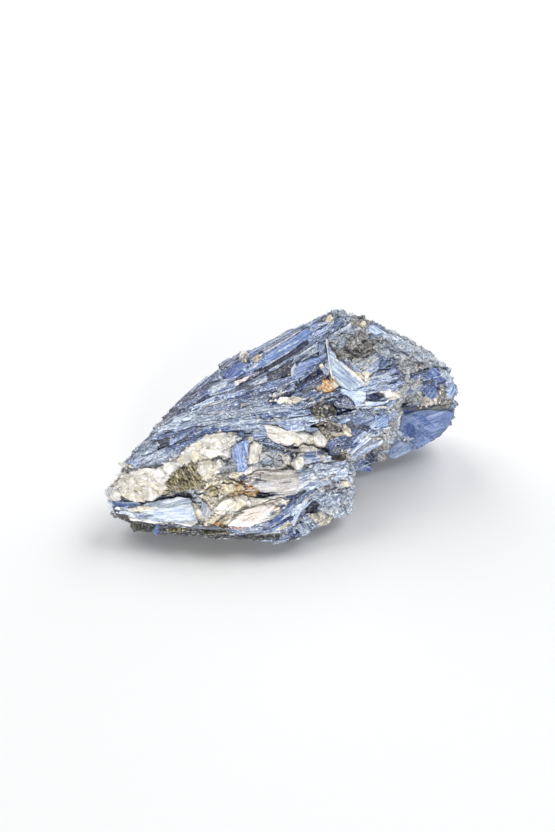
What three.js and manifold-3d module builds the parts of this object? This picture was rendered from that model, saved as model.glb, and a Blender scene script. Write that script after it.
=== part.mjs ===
// A natural kyanite specimen: blue bladed kyanite grown together with a vein of milky quartz,
// a book of olive mica and an iron-stained crust. It is one stone, so it is one solid.
// Millimetres, +Z up. It lies on its flat underside, with its long way along X and its tapered
// tip towards -X. The origin is the middle of the footprint of its bounding box.

import * as THREE from "three";
import { ConvexGeometry } from "three/addons/geometries/ConvexGeometry.js";
import { MeshSurfaceSampler } from "three/addons/math/MeshSurfaceSampler.js";
import { mergeVertices } from "three/addons/utils/BufferGeometryUtils.js";
import Module from "manifold-3d";

const wasm = await Module();
wasm.setup();

// The masses that the stone is grown from, each the convex hull of its corners.
const MASSES = {
  rear_slab: [
    [-46.8, -20.4, 12.5], [-42, -13, 16.5], [-36, -7, 20.5], [-29.5, -0.5, 25.5], [-23.5, 3.5, 30],
    [-10.5, 9.5, 36.2], [-2, 12, 39], [7, 13, 42.2], [14, 14, 46], [-46, -27, 13], [-32.4, -21, 19.5],
    [-19, -18, 24], [-6.5, -16, 28], [6.5, -13, 31], [14, -12, 32], [-44, -18, 4], [-25, 8, 6],
    [0, 22, 8], [15, 26, 10], [16, 22, 32], [-20, -10, 2], [10, -5, 2],
  ],
  crown: [
    [12, 14, 45], [16, 14, 48], [24, 12.5, 48], [29.8, 12, 43.9], [36, 10, 41], [12, -14, 31],
    [25, -8, 36], [34, -3, 36], [40, 4, 36], [25, -13, 25], [36, -5, 26], [26, -11.5, 17],
    [14, -14, 24], [34, -4, 18], [15, 26, 12], [38, 24, 14], [30, 22, 36],
  ],
  right_end: [
    [36, 10, 41], [44, 12, 36.5], [51, 12, 30.5], [54, 10, 24], [54.8, 10, 17], [54.6, 10.5, 9.8],
    [50.8, 11, 3.9], [44, 6, 3], [40, 5, 31], [36, 1, 3.8], [50, 22, 8], [38, 29, 10], [44, 24, 28],
    [30, 20, 4], [41, 3, 12],
  ],
  under_crown: [
    [24.5, -5, 3.5], [33, 1.5, 3], [43, 8, 5.5], [20, -10, 16], [36, 2, 20], [12, -10, 2], [15, 20, 3],
    [38, 20, 5], [20, 0, 20],
  ],
  waist: [
    [12, -13, 30], [22, -15, 22], [26, -9, 17], [18, -17.5, 17], [2, -17, 22], [0, -12, 28],
    [24, -5, 5], [8, -8, 4], [16, -14, 8],
  ],
  front_slab: [
    [-49.2, -28.5, 11], [-47.6, -28, 5], [-37, -32.3, 2.4], [-25, -35.2, 2.4], [-13.6, -36.4, 2.8],
    [3.6, -37.2, 1.8], [15.5, -30, 3.8], [21, -24, 9], [-43, -33.2, 8], [-22, -36.8, 8], [2, -37.6, 7.5],
    [-40, -12, 3], [15, -5, 3], [-45, -24, 14], [10, -20, 16], [-10, -20, 18],
  ],
  quartz_vein: [
    [-49.4, -28, 12.3], [-39, -30.5, 13.5], [-22, -29, 15], [-32.4, -22, 19.5], [-19, -20, 24.5],
    [-6.5, -18, 26], [4, -17, 26], [12, -16, 26], [-10, -26, 19], [-40, -18, 12], [0, -10, 15],
    [16, -8, 14],
  ],
  middle_block: [
    [-12, -22, 22], [3.5, -21.5, 22], [-8, -28.5, 15.5], [11.6, -27.5, 15.5], [18, -22, 17.5],
    [10, -12, 20], [-10, -15, 18], [10, -10, 10],
  ],
  front_right_block: [
    [20.5, -21, 18.5], [22.3, -25.6, 10], [21.4, -25, 3.4], [10, -20, 17], [12.4, -32.2, 8],
    [22.5, -12, 3.5], [8.6, -34.3, 3], [17.5, -16, 17], [5, -10, 3],
  ],
  front_foot: [
    [-30, -19, 0], [-8, -26, 0], [11, -20, 0], [16, -11, 0], [-6, 2, 0], [-24, -8, 0], [-37, -21, 6],
    [-8, -31, 6], [15, -24, 6], [20, -10, 6], [-5, 8, 6], [-30, -2, 6],
  ],
  rear_foot: [
    [16, -1, 0], [31, 7, 0], [36, 13, 0], [29, 17, 0], [10, 14, 0], [-2, 7, 0], [20, -4, 6], [36, 5, 6],
    [42, 14, 7], [34, 21, 7], [6, 17, 6], [-8, 7, 6],
  ],
};

// Hollows and slots, cut out as ellipsoids: centre, half sizes, and turn about Y and then about Z.
const HOLLOWS = {
  crown_hollow: { at: [24, 2.5, 43.5], half: [7, 4.4, 4.2], tilt: 0.1, turn: -0.2 },
  crown_pit: { at: [27.6, -9, 32.4], half: [2.6, 2.6, 1.3], tilt: 0.5, turn: 0 },
  arch_hollow: { at: [19, -12, 31.4], half: [4.2, 3.2, 2.4], tilt: 0, turn: 0.2 },
  crown_crevice: { at: [12.5, -15, 26.6], half: [4.6, 4, 1.8], tilt: -0.1, turn: 0 },
  under_shelf: { at: [28, -8, 12], half: [6.5, 5, 3.8], tilt: -0.15, turn: 0.5 },
  block_slot: { at: [-1, -29, 13.4], half: [6, 3.6, 1], tilt: -0.05, turn: 0 },
  slab_slot: { at: [-32.5, -16.8, 21], half: [5, 2.2, 1.3], tilt: -0.25, turn: 0 },
  waist_gap: { at: [19.5, -18.5, 16.5], half: [3.4, 3, 2], tilt: 0, turn: 0.4 },
  notch: { at: [25, -14, 5], half: [2.6, 7, 5], tilt: 0, turn: 0 },
  underside_front: { at: [-2, -12, 0], half: [16, 5, 3], tilt: 0, turn: 0.3 },
  underside_rear: { at: [20, 10, 0], half: [9, 5, 2.5], tilt: 0, turn: 0.5 },
};

// The large blades, plates and ledges: [one end, other end, width, thickness, where the flat side faces].
const BLADES = {
  ridge_bright: [[-8, 3.6, 36.1], [11, 9.6, 43.6], 3.4, 2.6, [-0.28, -0.35, 0.89]],
  ridge_upper: [[-16, 7.2, 33.2], [8, 12.6, 41.8], 3.4, 2.8, [-0.28, -0.25, 0.93]],
  ridge_short: [[-16.5, 2.6, 33.2], [-9.5, 5, 36.2], 4.4, 3, [-0.3, -0.3, 0.9]],
  slab_high: [[-30, -4, 26], [-9, 1.4, 34.4], 3, 2.2, [-0.28, -0.4, 0.87]],
  slab_middle: [[-36, -9.5, 21.8], [-10, -4, 32], 3.4, 2.4, [-0.28, -0.3, 0.9]],
  slab_pale: [[-37, -12.2, 20.6], [-3, -9.8, 31.2], 4.4, 2.6, [-0.28, -0.45, 0.85]],
  slab_long: [[-33, -15, 21.6], [5, -12.6, 30.8], 3, 2.4, [-0.26, -0.55, 0.8]],
  slab_deep: [[-37.5, -13.8, 20], [-17, -15.6, 25.2], 2.6, 2, [-0.26, -0.6, 0.78]],
  slab_foot: [[-44, -19.6, 15.6], [-27, -18.6, 21.4], 3.2, 2.2, [-0.3, -0.5, 0.8]],
  crown_edge: [[0, -8, 34.4], [15, 0.5, 41.8], 3.2, 2.2, [-0.2, -0.55, 0.8]],
  crown_low: [[-3, -11.4, 31.6], [14, -9.6, 34.6], 2.8, 2.2, [-0.1, -0.6, 0.8]],
  fan_stem: [[15.6, 4.4, 42.6], [17, -7, 37], 1.6, 3.6, [0.6, -0.3, 0.7]],
  fan_plate: [[17.6, -0.6, 40.6], [24.4, -7.4, 37.4], 4.8, 1.8, [0.25, -0.45, 0.86]],
  rim_plate: [[19, -9.4, 35], [36, -3.6, 36], 4.6, 2.4, [0.1, -0.5, 0.85]],
  rim_front: [[22, -12.6, 30.2], [36.5, -4.6, 31.6], 4, 2.6, [0.3, -0.9, 0.3]],
  crown_cap: [[13, 10.6, 46], [28, 9, 46.2], 4.6, 3.2, [0, -0.4, 0.9]],
  crown_shoulder: [[27, 9.6, 45.6], [41, 9, 38.6], 5, 3.4, [0.3, -0.3, 0.9]],
  shelf: [[18, -17, 17.6], [33.6, -6.4, 19.4], 5.6, 2.4, [0.35, -0.75, 0.55]],
  end_ledge: [[38.6, 2.6, 22.6], [53.6, 10.4, 19.6], 3.6, 3, [0.4, -0.6, 0.7]],
  end_high: [[41, 4.6, 29.6], [52.4, 11, 28], 5, 3, [0.4, -0.7, 0.6]],
  end_foot: [[35, 3.4, 7.4], [49.6, 11, 9], 4, 2.4, [0.4, -0.85, 0.2]],
  standing: [[-11.6, -19.8, 26.6], [-10.2, -26.2, 18.6], 3.6, 3.4, [0.1, -0.7, 0.65]],
  vein_top: [[-7, -17.4, 27.4], [8, -15.6, 28.4], 3.2, 2, [-0.1, -0.7, 0.7]],
  block_top: [[-7, -21.2, 23.4], [15, -20.2, 20.4], 2.8, 2, [0, -0.5, 0.85]],
  block_front: [[-9, -27.6, 17.2], [12, -27.2, 16], 4, 2, [0, -0.75, 0.65]],
  block_end: [[7, -26.6, 17], [19, -22.6, 17.4], 5.6, 2, [0.1, -0.6, 0.8]],
  front_pale: [[-48, -30.2, 10.6], [-20, -33.6, 9.8], 5.4, 1.8, [0, -0.45, 0.89]],
  front_cream: [[-15, -34.2, 9.6], [4.6, -31.2, 10.8], 5.6, 1.8, [0, -0.45, 0.89]],
  sweep_low: [[-7, -36.4, 7.6], [7.4, -32, 9.8], 2, 1.6, [0.2, -0.8, 0.5]],
  sweep_high: [[1, -33.4, 9.6], [14, -27.6, 13.4], 2.4, 1.6, [0.2, -0.8, 0.5]],
  layer_top: [[-46, -30.4, 7], [4, -37.2, 6.2], 1.6, 1.3, [0, -1, 0.1]],
  layer_middle: [[-41, -31, 5], [6, -36.6, 4.3], 1.6, 1.2, [0, -1, 0]],
  layer_low: [[-30, -33, 3.2], [6, -35.8, 2.4], 1.6, 1.2, [0, -1, -0.1]],
};

// The olive mica book stands on edge in the vein: thin leaves side by side, of uneven reach.
const MICA_BOOK = { at: [-26.4, -27.2, 17.2], across: [0.8, 0.1, 0.3], leaves: 7, pitch: 1.25, thick: 0.75 };
const MICA_LEAF = { along: [-0.25, -0.6, -0.75], length: 7, width: 4.4 };

// How the surface grows, zone by zone. A point belongs to the zone with the nearest centre, and no two
// blades or grains of a zone lie nearer than apart. Sizes are [least, most].
// Blades lie along their zone's direction.
const BLADE_ZONES = [
  { at: [-38, -14, 18], along: [0.92, 0.2, 0.36], length: [8, 15], width: [1.8, 3.2], apart: 7.7 },
  { at: [-22, 0, 29], along: [0.88, 0.24, 0.41], length: [8, 18], width: [2.2, 4], apart: 9 },
  { at: [-2, 9, 39], along: [0.88, 0.26, 0.4], length: [8, 16], width: [2.4, 4.4], apart: 9.7 },
  { at: [-4, -6, 34], along: [0.9, 0.2, 0.38], length: [7, 15], width: [2, 4], apart: 6.9 },
  { at: [-22, -14, 25], along: [0.96, 0.06, 0.27], length: [10, 18], width: [1.8, 3], apart: 9.7 },
  { at: [12, 3, 42], along: [0.8, 0.3, 0.5], length: [5, 11], width: [2, 4], apart: 6.4 },
  { at: [33, 2, 38], along: [0.9, 0.1, -0.2], length: [4, 9], width: [2, 4], apart: 6.1 },
  { at: [47, 8, 24], along: [0.75, 0.6, -0.2], length: [5, 10], width: [2.5, 4.4], apart: 6.9 },
  { at: [-34, -33, 7], along: [1, -0.12, -0.02], length: [8, 16], width: [1.6, 2.6], apart: 11.1 },
  { at: [-8, -36, 5], along: [1, -0.05, 0.02], length: [8, 16], width: [1.6, 2.6], apart: 12.5 },
  { at: [-22, 6, 16], along: [0.86, 0.45, 0.22], length: [14, 26], width: [3.4, 6.5], apart: 12.5 },
  { at: [6, 23, 22], along: [0.95, 0.1, 0.28], length: [12, 24], width: [3.4, 7], apart: 12.5 },
  { at: [40, 27, 18], along: [0.7, -0.4, 0.5], length: [8, 16], width: [3.4, 6], apart: 11.1 },
];
const GRAIN_ZONES = [
  { at: [22, 12, 47], size: [3, 5.3], apart: 5.5 },
  { at: [24, 3, 42], size: [2.5, 4.6], apart: 5.5 },
  { at: [42, 9, 36], size: [2.8, 5], apart: 5.7 },
  { at: [52, 12, 26], size: [3, 5.5], apart: 6.6 },
  { at: [26, -12, 25], size: [3, 5], apart: 5.5 },
  { at: [28, -3, 10], size: [3, 5], apart: 6 },
  { at: [0, -25, 20], size: [2.5, 4.6], apart: 5.5 },
  { at: [20, -25, 10], size: [2.8, 4.8], apart: 5.5 },
  { at: [12, -32, 5], size: [2.8, 4.8], apart: 5.5 },
  { at: [-42, -28, 14], size: [3.9, 6.5], apart: 5.7 },
  { at: [-32, -26, 17], size: [4.1, 7], apart: 5.7 },
  { at: [-20, -23, 21], size: [4.1, 6.7], apart: 5.7 },
  { at: [8, -18, 25], size: [4.1, 7.2], apart: 6.3 },
  { at: [-15, -31, 12], size: [3, 5.3], apart: 5.5 },
];
// The smooth broken face at the right end, where nothing grows.
const BARE_ZONES = [
  { at: [46, 5, 12] },
];
const SCATTER_TRIES = 3000;
const SKIN = 1.5; // how far the scattered growth may stand out of the masses
const FLOOR_CLEARANCE = 2.5; // nothing is scattered lower than this above the flat underside
const FLOOR_BLOCK = { side: 300, depth: 100 }; // what lies under the floor is cut away

// How far single blades and grains stray, as [least, most]. Skew is how far an end is broken askew and taper
// how much narrower it is, in widths; sink is in thicknesses or sizes; roll is in radians.
const PLACED_BLADE = { sink: 0.2, skew: [-0.7, 0.7], taper: [0.75, 1] };
const GROWN_BLADE = {
  thickPerWidth: [0.45, 0.6], sink: [-0.2, 0.2], roll: [-0.35, 0.35], skew: [-0.8, 0.8], taper: [0.65, 1],
  stray: 0.1, laidFlat: 0.85,
};
const GRAIN = { corners: 8, reach: [0.45, 0.62], sink: [0, 0.22] };
const MICA_STRAY = { roll: [-0.12, 0.12], length: [0.75, 1.1], width: [0.8, 1.15], skew: [-0.5, 0.5] };

// Seeded random numbers, so that the stone is the same each time.
function seeded(seed) {
  let state = seed;
  return () => {
    state = (state + 0x6d2b79f5) | 0;
    let t = Math.imul(state ^ (state >>> 15), 1 | state);
    t = (t + Math.imul(t ^ (t >>> 7), 61 | t)) ^ t;
    return ((t ^ (t >>> 14)) >>> 0) / 4294967296;
  };
}
const random = seeded(11);
const between = (low, high) => low + (high - low) * random();
const vector = (p) => new THREE.Vector3(...p);

function solidOf(geometry) {
  const bare = geometry.clone();
  bare.deleteAttribute("normal");
  bare.deleteAttribute("uv");
  const merged = mergeVertices(bare, 1e-4);
  return new wasm.Manifold(
    new wasm.Mesh({
      numProp: 3,
      vertProperties: merged.attributes.position.array,
      triVerts: new Uint32Array(merged.index.array),
    }),
  );
}

function geometryOf(solid) {
  const mesh = solid.getMesh();
  return new THREE.BufferGeometry()
    .setAttribute("position", new THREE.BufferAttribute(Float32Array.from(mesh.vertProperties), 3))
    .setIndex(new THREE.BufferAttribute(mesh.triVerts, 1));
}

const hullOf = (points) => solidOf(new ConvexGeometry(points));

// A mass with its corners pushed out from its middle by the given distance.
function swollen(points, by) {
  const middle = new THREE.Vector3();
  points.forEach((p) => middle.addScaledVector(vector(p), 1 / points.length));
  return hullOf(points.map((p) => vector(p).addScaledVector(vector(p).sub(middle).normalize(), by)));
}

// A frame with x along the blade and z out of its flat side.
function frameAt(place, along, faces, roll = 0) {
  const x = along.clone().normalize();
  const z = faces.clone().addScaledVector(x, -faces.dot(x)).normalize().applyAxisAngle(x, roll);
  return new THREE.Matrix4().makeBasis(x, new THREE.Vector3().crossVectors(z, x), z).setPosition(place);
}

// A blade: a flat prism with bevelled sides, whose ends are broken off askew.
const BLADE_SECTION = [[-0.5, -0.5], [-0.38, 0.5], [0.38, 0.5], [0.5, -0.5]];
function blade(frame, length, width, thick, skew, taper) {
  const points = [];
  for (const end of [-1, 1]) {
    const size = end > 0 ? taper : 1;
    for (const [y, z] of BLADE_SECTION) {
      const x = end * length * 0.5 + skew * y * width * size;
      points.push(new THREE.Vector3(x, y * width * size, z * thick * size).applyMatrix4(frame));
    }
  }
  return hullOf(points);
}

function placedBlade([from, to, width, thick, faces]) {
  const along = vector(to).sub(vector(from));
  const sunk = PLACED_BLADE.sink * thick;
  const place = vector(from).lerp(vector(to), 0.5).addScaledVector(vector(faces), -sunk);
  const frame = frameAt(place, along, vector(faces));
  const [skew, taper] = [between(...PLACED_BLADE.skew), between(...PLACED_BLADE.taper)];
  return blade(frame, along.length(), width, thick, skew, taper);
}

// A grain: a lump with flat faces, the hull of points thrown on a ball.
function grain(place, size) {
  const points = [];
  for (let i = 0; i < GRAIN.corners; i++) {
    const up = between(-1, 1);
    const turn = between(0, 2 * Math.PI);
    const ring = Math.sqrt(1 - up * up);
    const far = size * between(...GRAIN.reach);
    const spoke = new THREE.Vector3(ring * Math.cos(turn), ring * Math.sin(turn), up);
    points.push(spoke.multiplyScalar(far).add(place));
  }
  return hullOf(points);
}

function hollow({ at, half, tilt, turn }) {
  const ball = new THREE.IcosahedronGeometry(1, 1).scale(...half).rotateY(tilt).rotateZ(turn);
  return solidOf(ball.translate(...at));
}

function micaBook({ at, across, leaves, pitch, thick }, { along, length, width }) {
  const step = vector(across).normalize();
  return Array.from({ length: leaves }, (_, i) => {
    const place = vector(at).addScaledVector(step, (i - (leaves - 1) / 2) * pitch);
    const frame = frameAt(place, vector(along), step, between(...MICA_STRAY.roll));
    const long = length * between(...MICA_STRAY.length);
    const wide = width * between(...MICA_STRAY.width);
    return blade(frame, long, wide, thick, between(...MICA_STRAY.skew), 1);
  });
}

function grainOn({ size }, place, normal) {
  const wide = between(...size);
  return grain(place.clone().addScaledVector(normal, -wide * between(...GRAIN.sink)), wide);
}

function bladeOn(zone, place, normal) {
  const stray = new THREE.Vector3(between(-1, 1), between(-1, 1), between(-1, 1));
  const along = vector(zone.along).addScaledVector(stray, GROWN_BLADE.stray);
  along.addScaledVector(normal, -along.dot(normal) * GROWN_BLADE.laidFlat);
  const width = between(...zone.width);
  const thick = width * between(...GROWN_BLADE.thickPerWidth);
  const sunk = place.clone().addScaledVector(normal, thick * between(...GROWN_BLADE.sink));
  const frame = frameAt(sunk, along, normal, between(...GROWN_BLADE.roll));
  const length = between(...zone.length);
  return blade(frame, length, width, thick, between(...GROWN_BLADE.skew), between(...GROWN_BLADE.taper));
}

const ZONES = [
  ...BLADE_ZONES.map((zone) => ({ ...zone, grow: bladeOn })),
  ...GRAIN_ZONES.map((zone) => ({ ...zone, grow: grainOn })),
  ...BARE_ZONES,
];

function nearestZone(place) {
  const distance = (zone) => place.distanceTo(vector(zone.at));
  return ZONES.reduce((best, zone) => (distance(zone) < distance(best) ? zone : best));
}

// Blades and grains scattered over the core, no two nearer to each other than their zone allows.
function scattered(core) {
  const surface = geometryOf(core).toNonIndexed();
  surface.computeVertexNormals();
  const sampler = new MeshSurfaceSampler(new THREE.Mesh(surface)).setRandomGenerator(random).build();
  const taken = [];
  const solids = [];
  for (let i = 0; i < SCATTER_TRIES; i++) {
    const place = new THREE.Vector3();
    const normal = new THREE.Vector3();
    sampler.sample(place, normal);
    const zone = nearestZone(place);
    if (!zone.grow || place.z < FLOOR_CLEARANCE) continue;
    if (taken.some((other) => other.distanceTo(place) < zone.apart)) continue;
    taken.push(place);
    solids.push(zone.grow(zone, place, normal));
  }
  return solids;
}

const masses = wasm.Manifold.union(Object.values(MASSES).map((points) => hullOf(points.map(vector))));
const envelope = wasm.Manifold.union(Object.values(MASSES).map((points) => swollen(points, SKIN)));
const hollows = wasm.Manifold.union(Object.values(HOLLOWS).map(hollow));
const core = masses.subtract(hollows);
const growth = wasm.Manifold.union(scattered(core)).intersect(envelope);
const largeBlades = Object.values(BLADES).map(placedBlade);
const placed = wasm.Manifold.union([...largeBlades, ...micaBook(MICA_BOOK, MICA_LEAF)]);
const { side, depth } = FLOOR_BLOCK;
const floor = solidOf(new THREE.BoxGeometry(side, side, depth).translate(0, 0, -depth / 2));
const joined = wasm.Manifold.union([core, growth, placed]).subtract(floor);
// A crumb that the cuts left loose falls away, so only the largest body is kept.
const largest = (bodies) => bodies.reduce((best, body) => (body.volume() > best.volume() ? body : best));
const rock = geometryOf(largest(joined.decompose()));
rock.computeBoundingBox();
const middle = rock.boundingBox.getCenter(new THREE.Vector3());

const group = new THREE.Group();
const specimen = new THREE.Mesh(rock, new THREE.MeshStandardMaterial({ color: 0x5f7fb0, roughness: 0.6 }));
specimen.name = "kyanite";
specimen.position.set(-middle.x, -middle.y, 0);
group.add(specimen);
export default group;
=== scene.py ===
"""Looks of a kyanite specimen: blue bladed kyanite with milky quartz, olive mica and a rusty crust.

Lengths in the tables are millimetres, and so is all geometry until it is put into a mesh. A place that is
given by x and y of the photograph lies where the line of sight through it meets the stone.
"""

import math

import bmesh
import bpy
import numpy as np
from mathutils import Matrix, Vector
from mathutils.bvhtree import BVHTree
from mathutils.geometry import delaunay_2d_cdt


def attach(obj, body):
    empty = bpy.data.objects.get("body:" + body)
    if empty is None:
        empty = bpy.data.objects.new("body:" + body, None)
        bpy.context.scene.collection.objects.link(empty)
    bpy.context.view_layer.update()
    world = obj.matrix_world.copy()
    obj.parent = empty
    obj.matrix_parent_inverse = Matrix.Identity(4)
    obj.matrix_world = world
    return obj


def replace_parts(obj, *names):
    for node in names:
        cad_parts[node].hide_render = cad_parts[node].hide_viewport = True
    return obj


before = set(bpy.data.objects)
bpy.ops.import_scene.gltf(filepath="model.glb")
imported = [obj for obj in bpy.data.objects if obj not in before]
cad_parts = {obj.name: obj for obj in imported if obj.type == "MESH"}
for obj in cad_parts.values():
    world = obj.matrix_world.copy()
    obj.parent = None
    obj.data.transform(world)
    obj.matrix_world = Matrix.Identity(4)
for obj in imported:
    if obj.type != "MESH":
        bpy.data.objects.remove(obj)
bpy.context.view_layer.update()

MM = 0.001
BODY = "root"
NODE = "kyanite"

# The photograph's frame and the camera that fits it.
PHOTO_WIDE, PHOTO_HIGH = 555, 832
FOCAL_PIXELS = 1400.0
SENSOR = 36.0
CAMERA_FAR = 420.0
CAMERA_DOWN = math.radians(35.0)
AIM = np.array((-3.01, 4.52, 20.0))
SIGHT = np.array((0.0, math.cos(CAMERA_DOWN), -math.sin(CAMERA_DOWN)))
RIGHT = np.array((1.0, 0.0, 0.0))
UP = np.cross(RIGHT, SIGHT)
EYE = AIM - SIGHT * CAMERA_FAR

# Colours of the minerals, as seen in white light, from 0 to 255.
TINTS = {
    "navy": (34, 44, 80), "deep": (50, 73, 125), "royal": (70, 100, 160), "bright": (102, 136, 196),
    "sky": (140, 163, 201), "pale": (184, 199, 222), "ice": (220, 228, 238), "silver": (162, 170, 181),
    "veil": (120, 144, 189), "dusk": (88, 109, 152), "slate": (94, 109, 136), "charcoal": (48, 50, 58),
    # The near-black tint on this row is no mineral's colour: it paints shade in gaps, slots and hollows.
    "mist": (160, 171, 187), "painted_shade_black": (20, 25, 46), "stone": (136, 131, 124), "tan": (180, 165, 138),
    "milk": (236, 231, 222), "fog": (207, 202, 195), "yolk": (236, 219, 170),
    "sand": (214, 204, 180), "cream": (241, 233, 215), "white": (250, 248, 244), "pink": (240, 230, 223),
    "shell": (197, 191, 187),
    "ochre": (222, 176, 116), "rust": (198, 128, 80), "olive": (134, 122, 72), "moss": (60, 56, 36),
}

# Mixtures: which colours a patch shows, and how often each.
MIXES = {
    "deep": {"deep": 5, "navy": 3, "royal": 2, "sky": 1},
    "blue": {"royal": 4, "deep": 3, "sky": 2, "pale": 1, "navy": 1},
    "bright": {"bright": 5, "royal": 3, "sky": 2},
    "sky": {"sky": 3.5, "pale": 2, "royal": 2, "veil": 1, "slate": 1.5},
    "pale": {"pale": 2.4, "silver": 3, "ice": 0.9, "sky": 2, "slate": 3, "dusk": 1.8, "sand": 0.5},
    "grey": {"silver": 2.1, "slate": 3.6, "stone": 1, "dusk": 1.6, "sky": 1, "deep": 1.8},
    # dark is the colour of dark crystals, and also paints shade where pit patches lie in hollows and slots.
    "dark": {"navy": 3, "charcoal": 4, "slate": 1},
    "stone": {"stone": 2.5, "silver": 3.4, "sand": 1, "charcoal": 0.6, "white": 1.4, "mist": 1},
    "brown": {"stone": 4, "charcoal": 1, "tan": 1.6, "fog": 1.5, "silver": 1.3},
    "quartz": {"white": 4, "milk": 3, "cream": 2, "fog": 1.5, "pink": 1, "yolk": 0.7},
    "cream": {"cream": 4, "white": 2, "pink": 2, "sand": 1},
    "pink": {"pink": 4, "silver": 2, "cream": 2, "stone": 1},
    "gravel": {"white": 2, "silver": 2, "charcoal": 2, "pink": 2, "slate": 1},
    "crust": {"cream": 4, "white": 4, "yolk": 1.5, "sand": 1, "ochre": 0.5},
    "rust": {"rust": 1.5, "ochre": 4, "yolk": 2, "cream": 2},
    "olive": {"olive": 4, "moss": 4, "tan": 2, "yolk": 2, "sand": 1},
    # layers: the underside's dark brown layers, made darker still; their own colour and painted shade where
    # the slab overhangs the floor.
    "layers": {"moss": 5, "charcoal": 6, "stone": 0.2, "slate": 0.2},
    "ice_edge": {"ice": 4, "pale": 4, "sky": 1, "white": 1},
    "frost": {"ice": 4, "pale": 3, "white": 3, "silver": 1.5},
    "haze": {"silver": 3, "mist": 3, "pale": 4, "sky": 2, "fog": 1, "stone": 0.8, "white": 4, "slate": 1,
     "ice": 2},
    "stone_blade": {"stone": 3, "silver": 2, "tan": 1},
    "slate_blue": {"slate": 3, "deep": 2, "royal": 1, "navy": 1},
    "tan_mix": {"tan": 3, "sand": 2, "stone": 2},
    "silver_mix": {"silver": 3, "pale": 2, "white": 1, "slate": 1},
    "pale_mix": {"pale": 3, "ice": 2, "silver": 3, "fog": 1.5, "slate": 1, "mist": 1},
}
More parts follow.
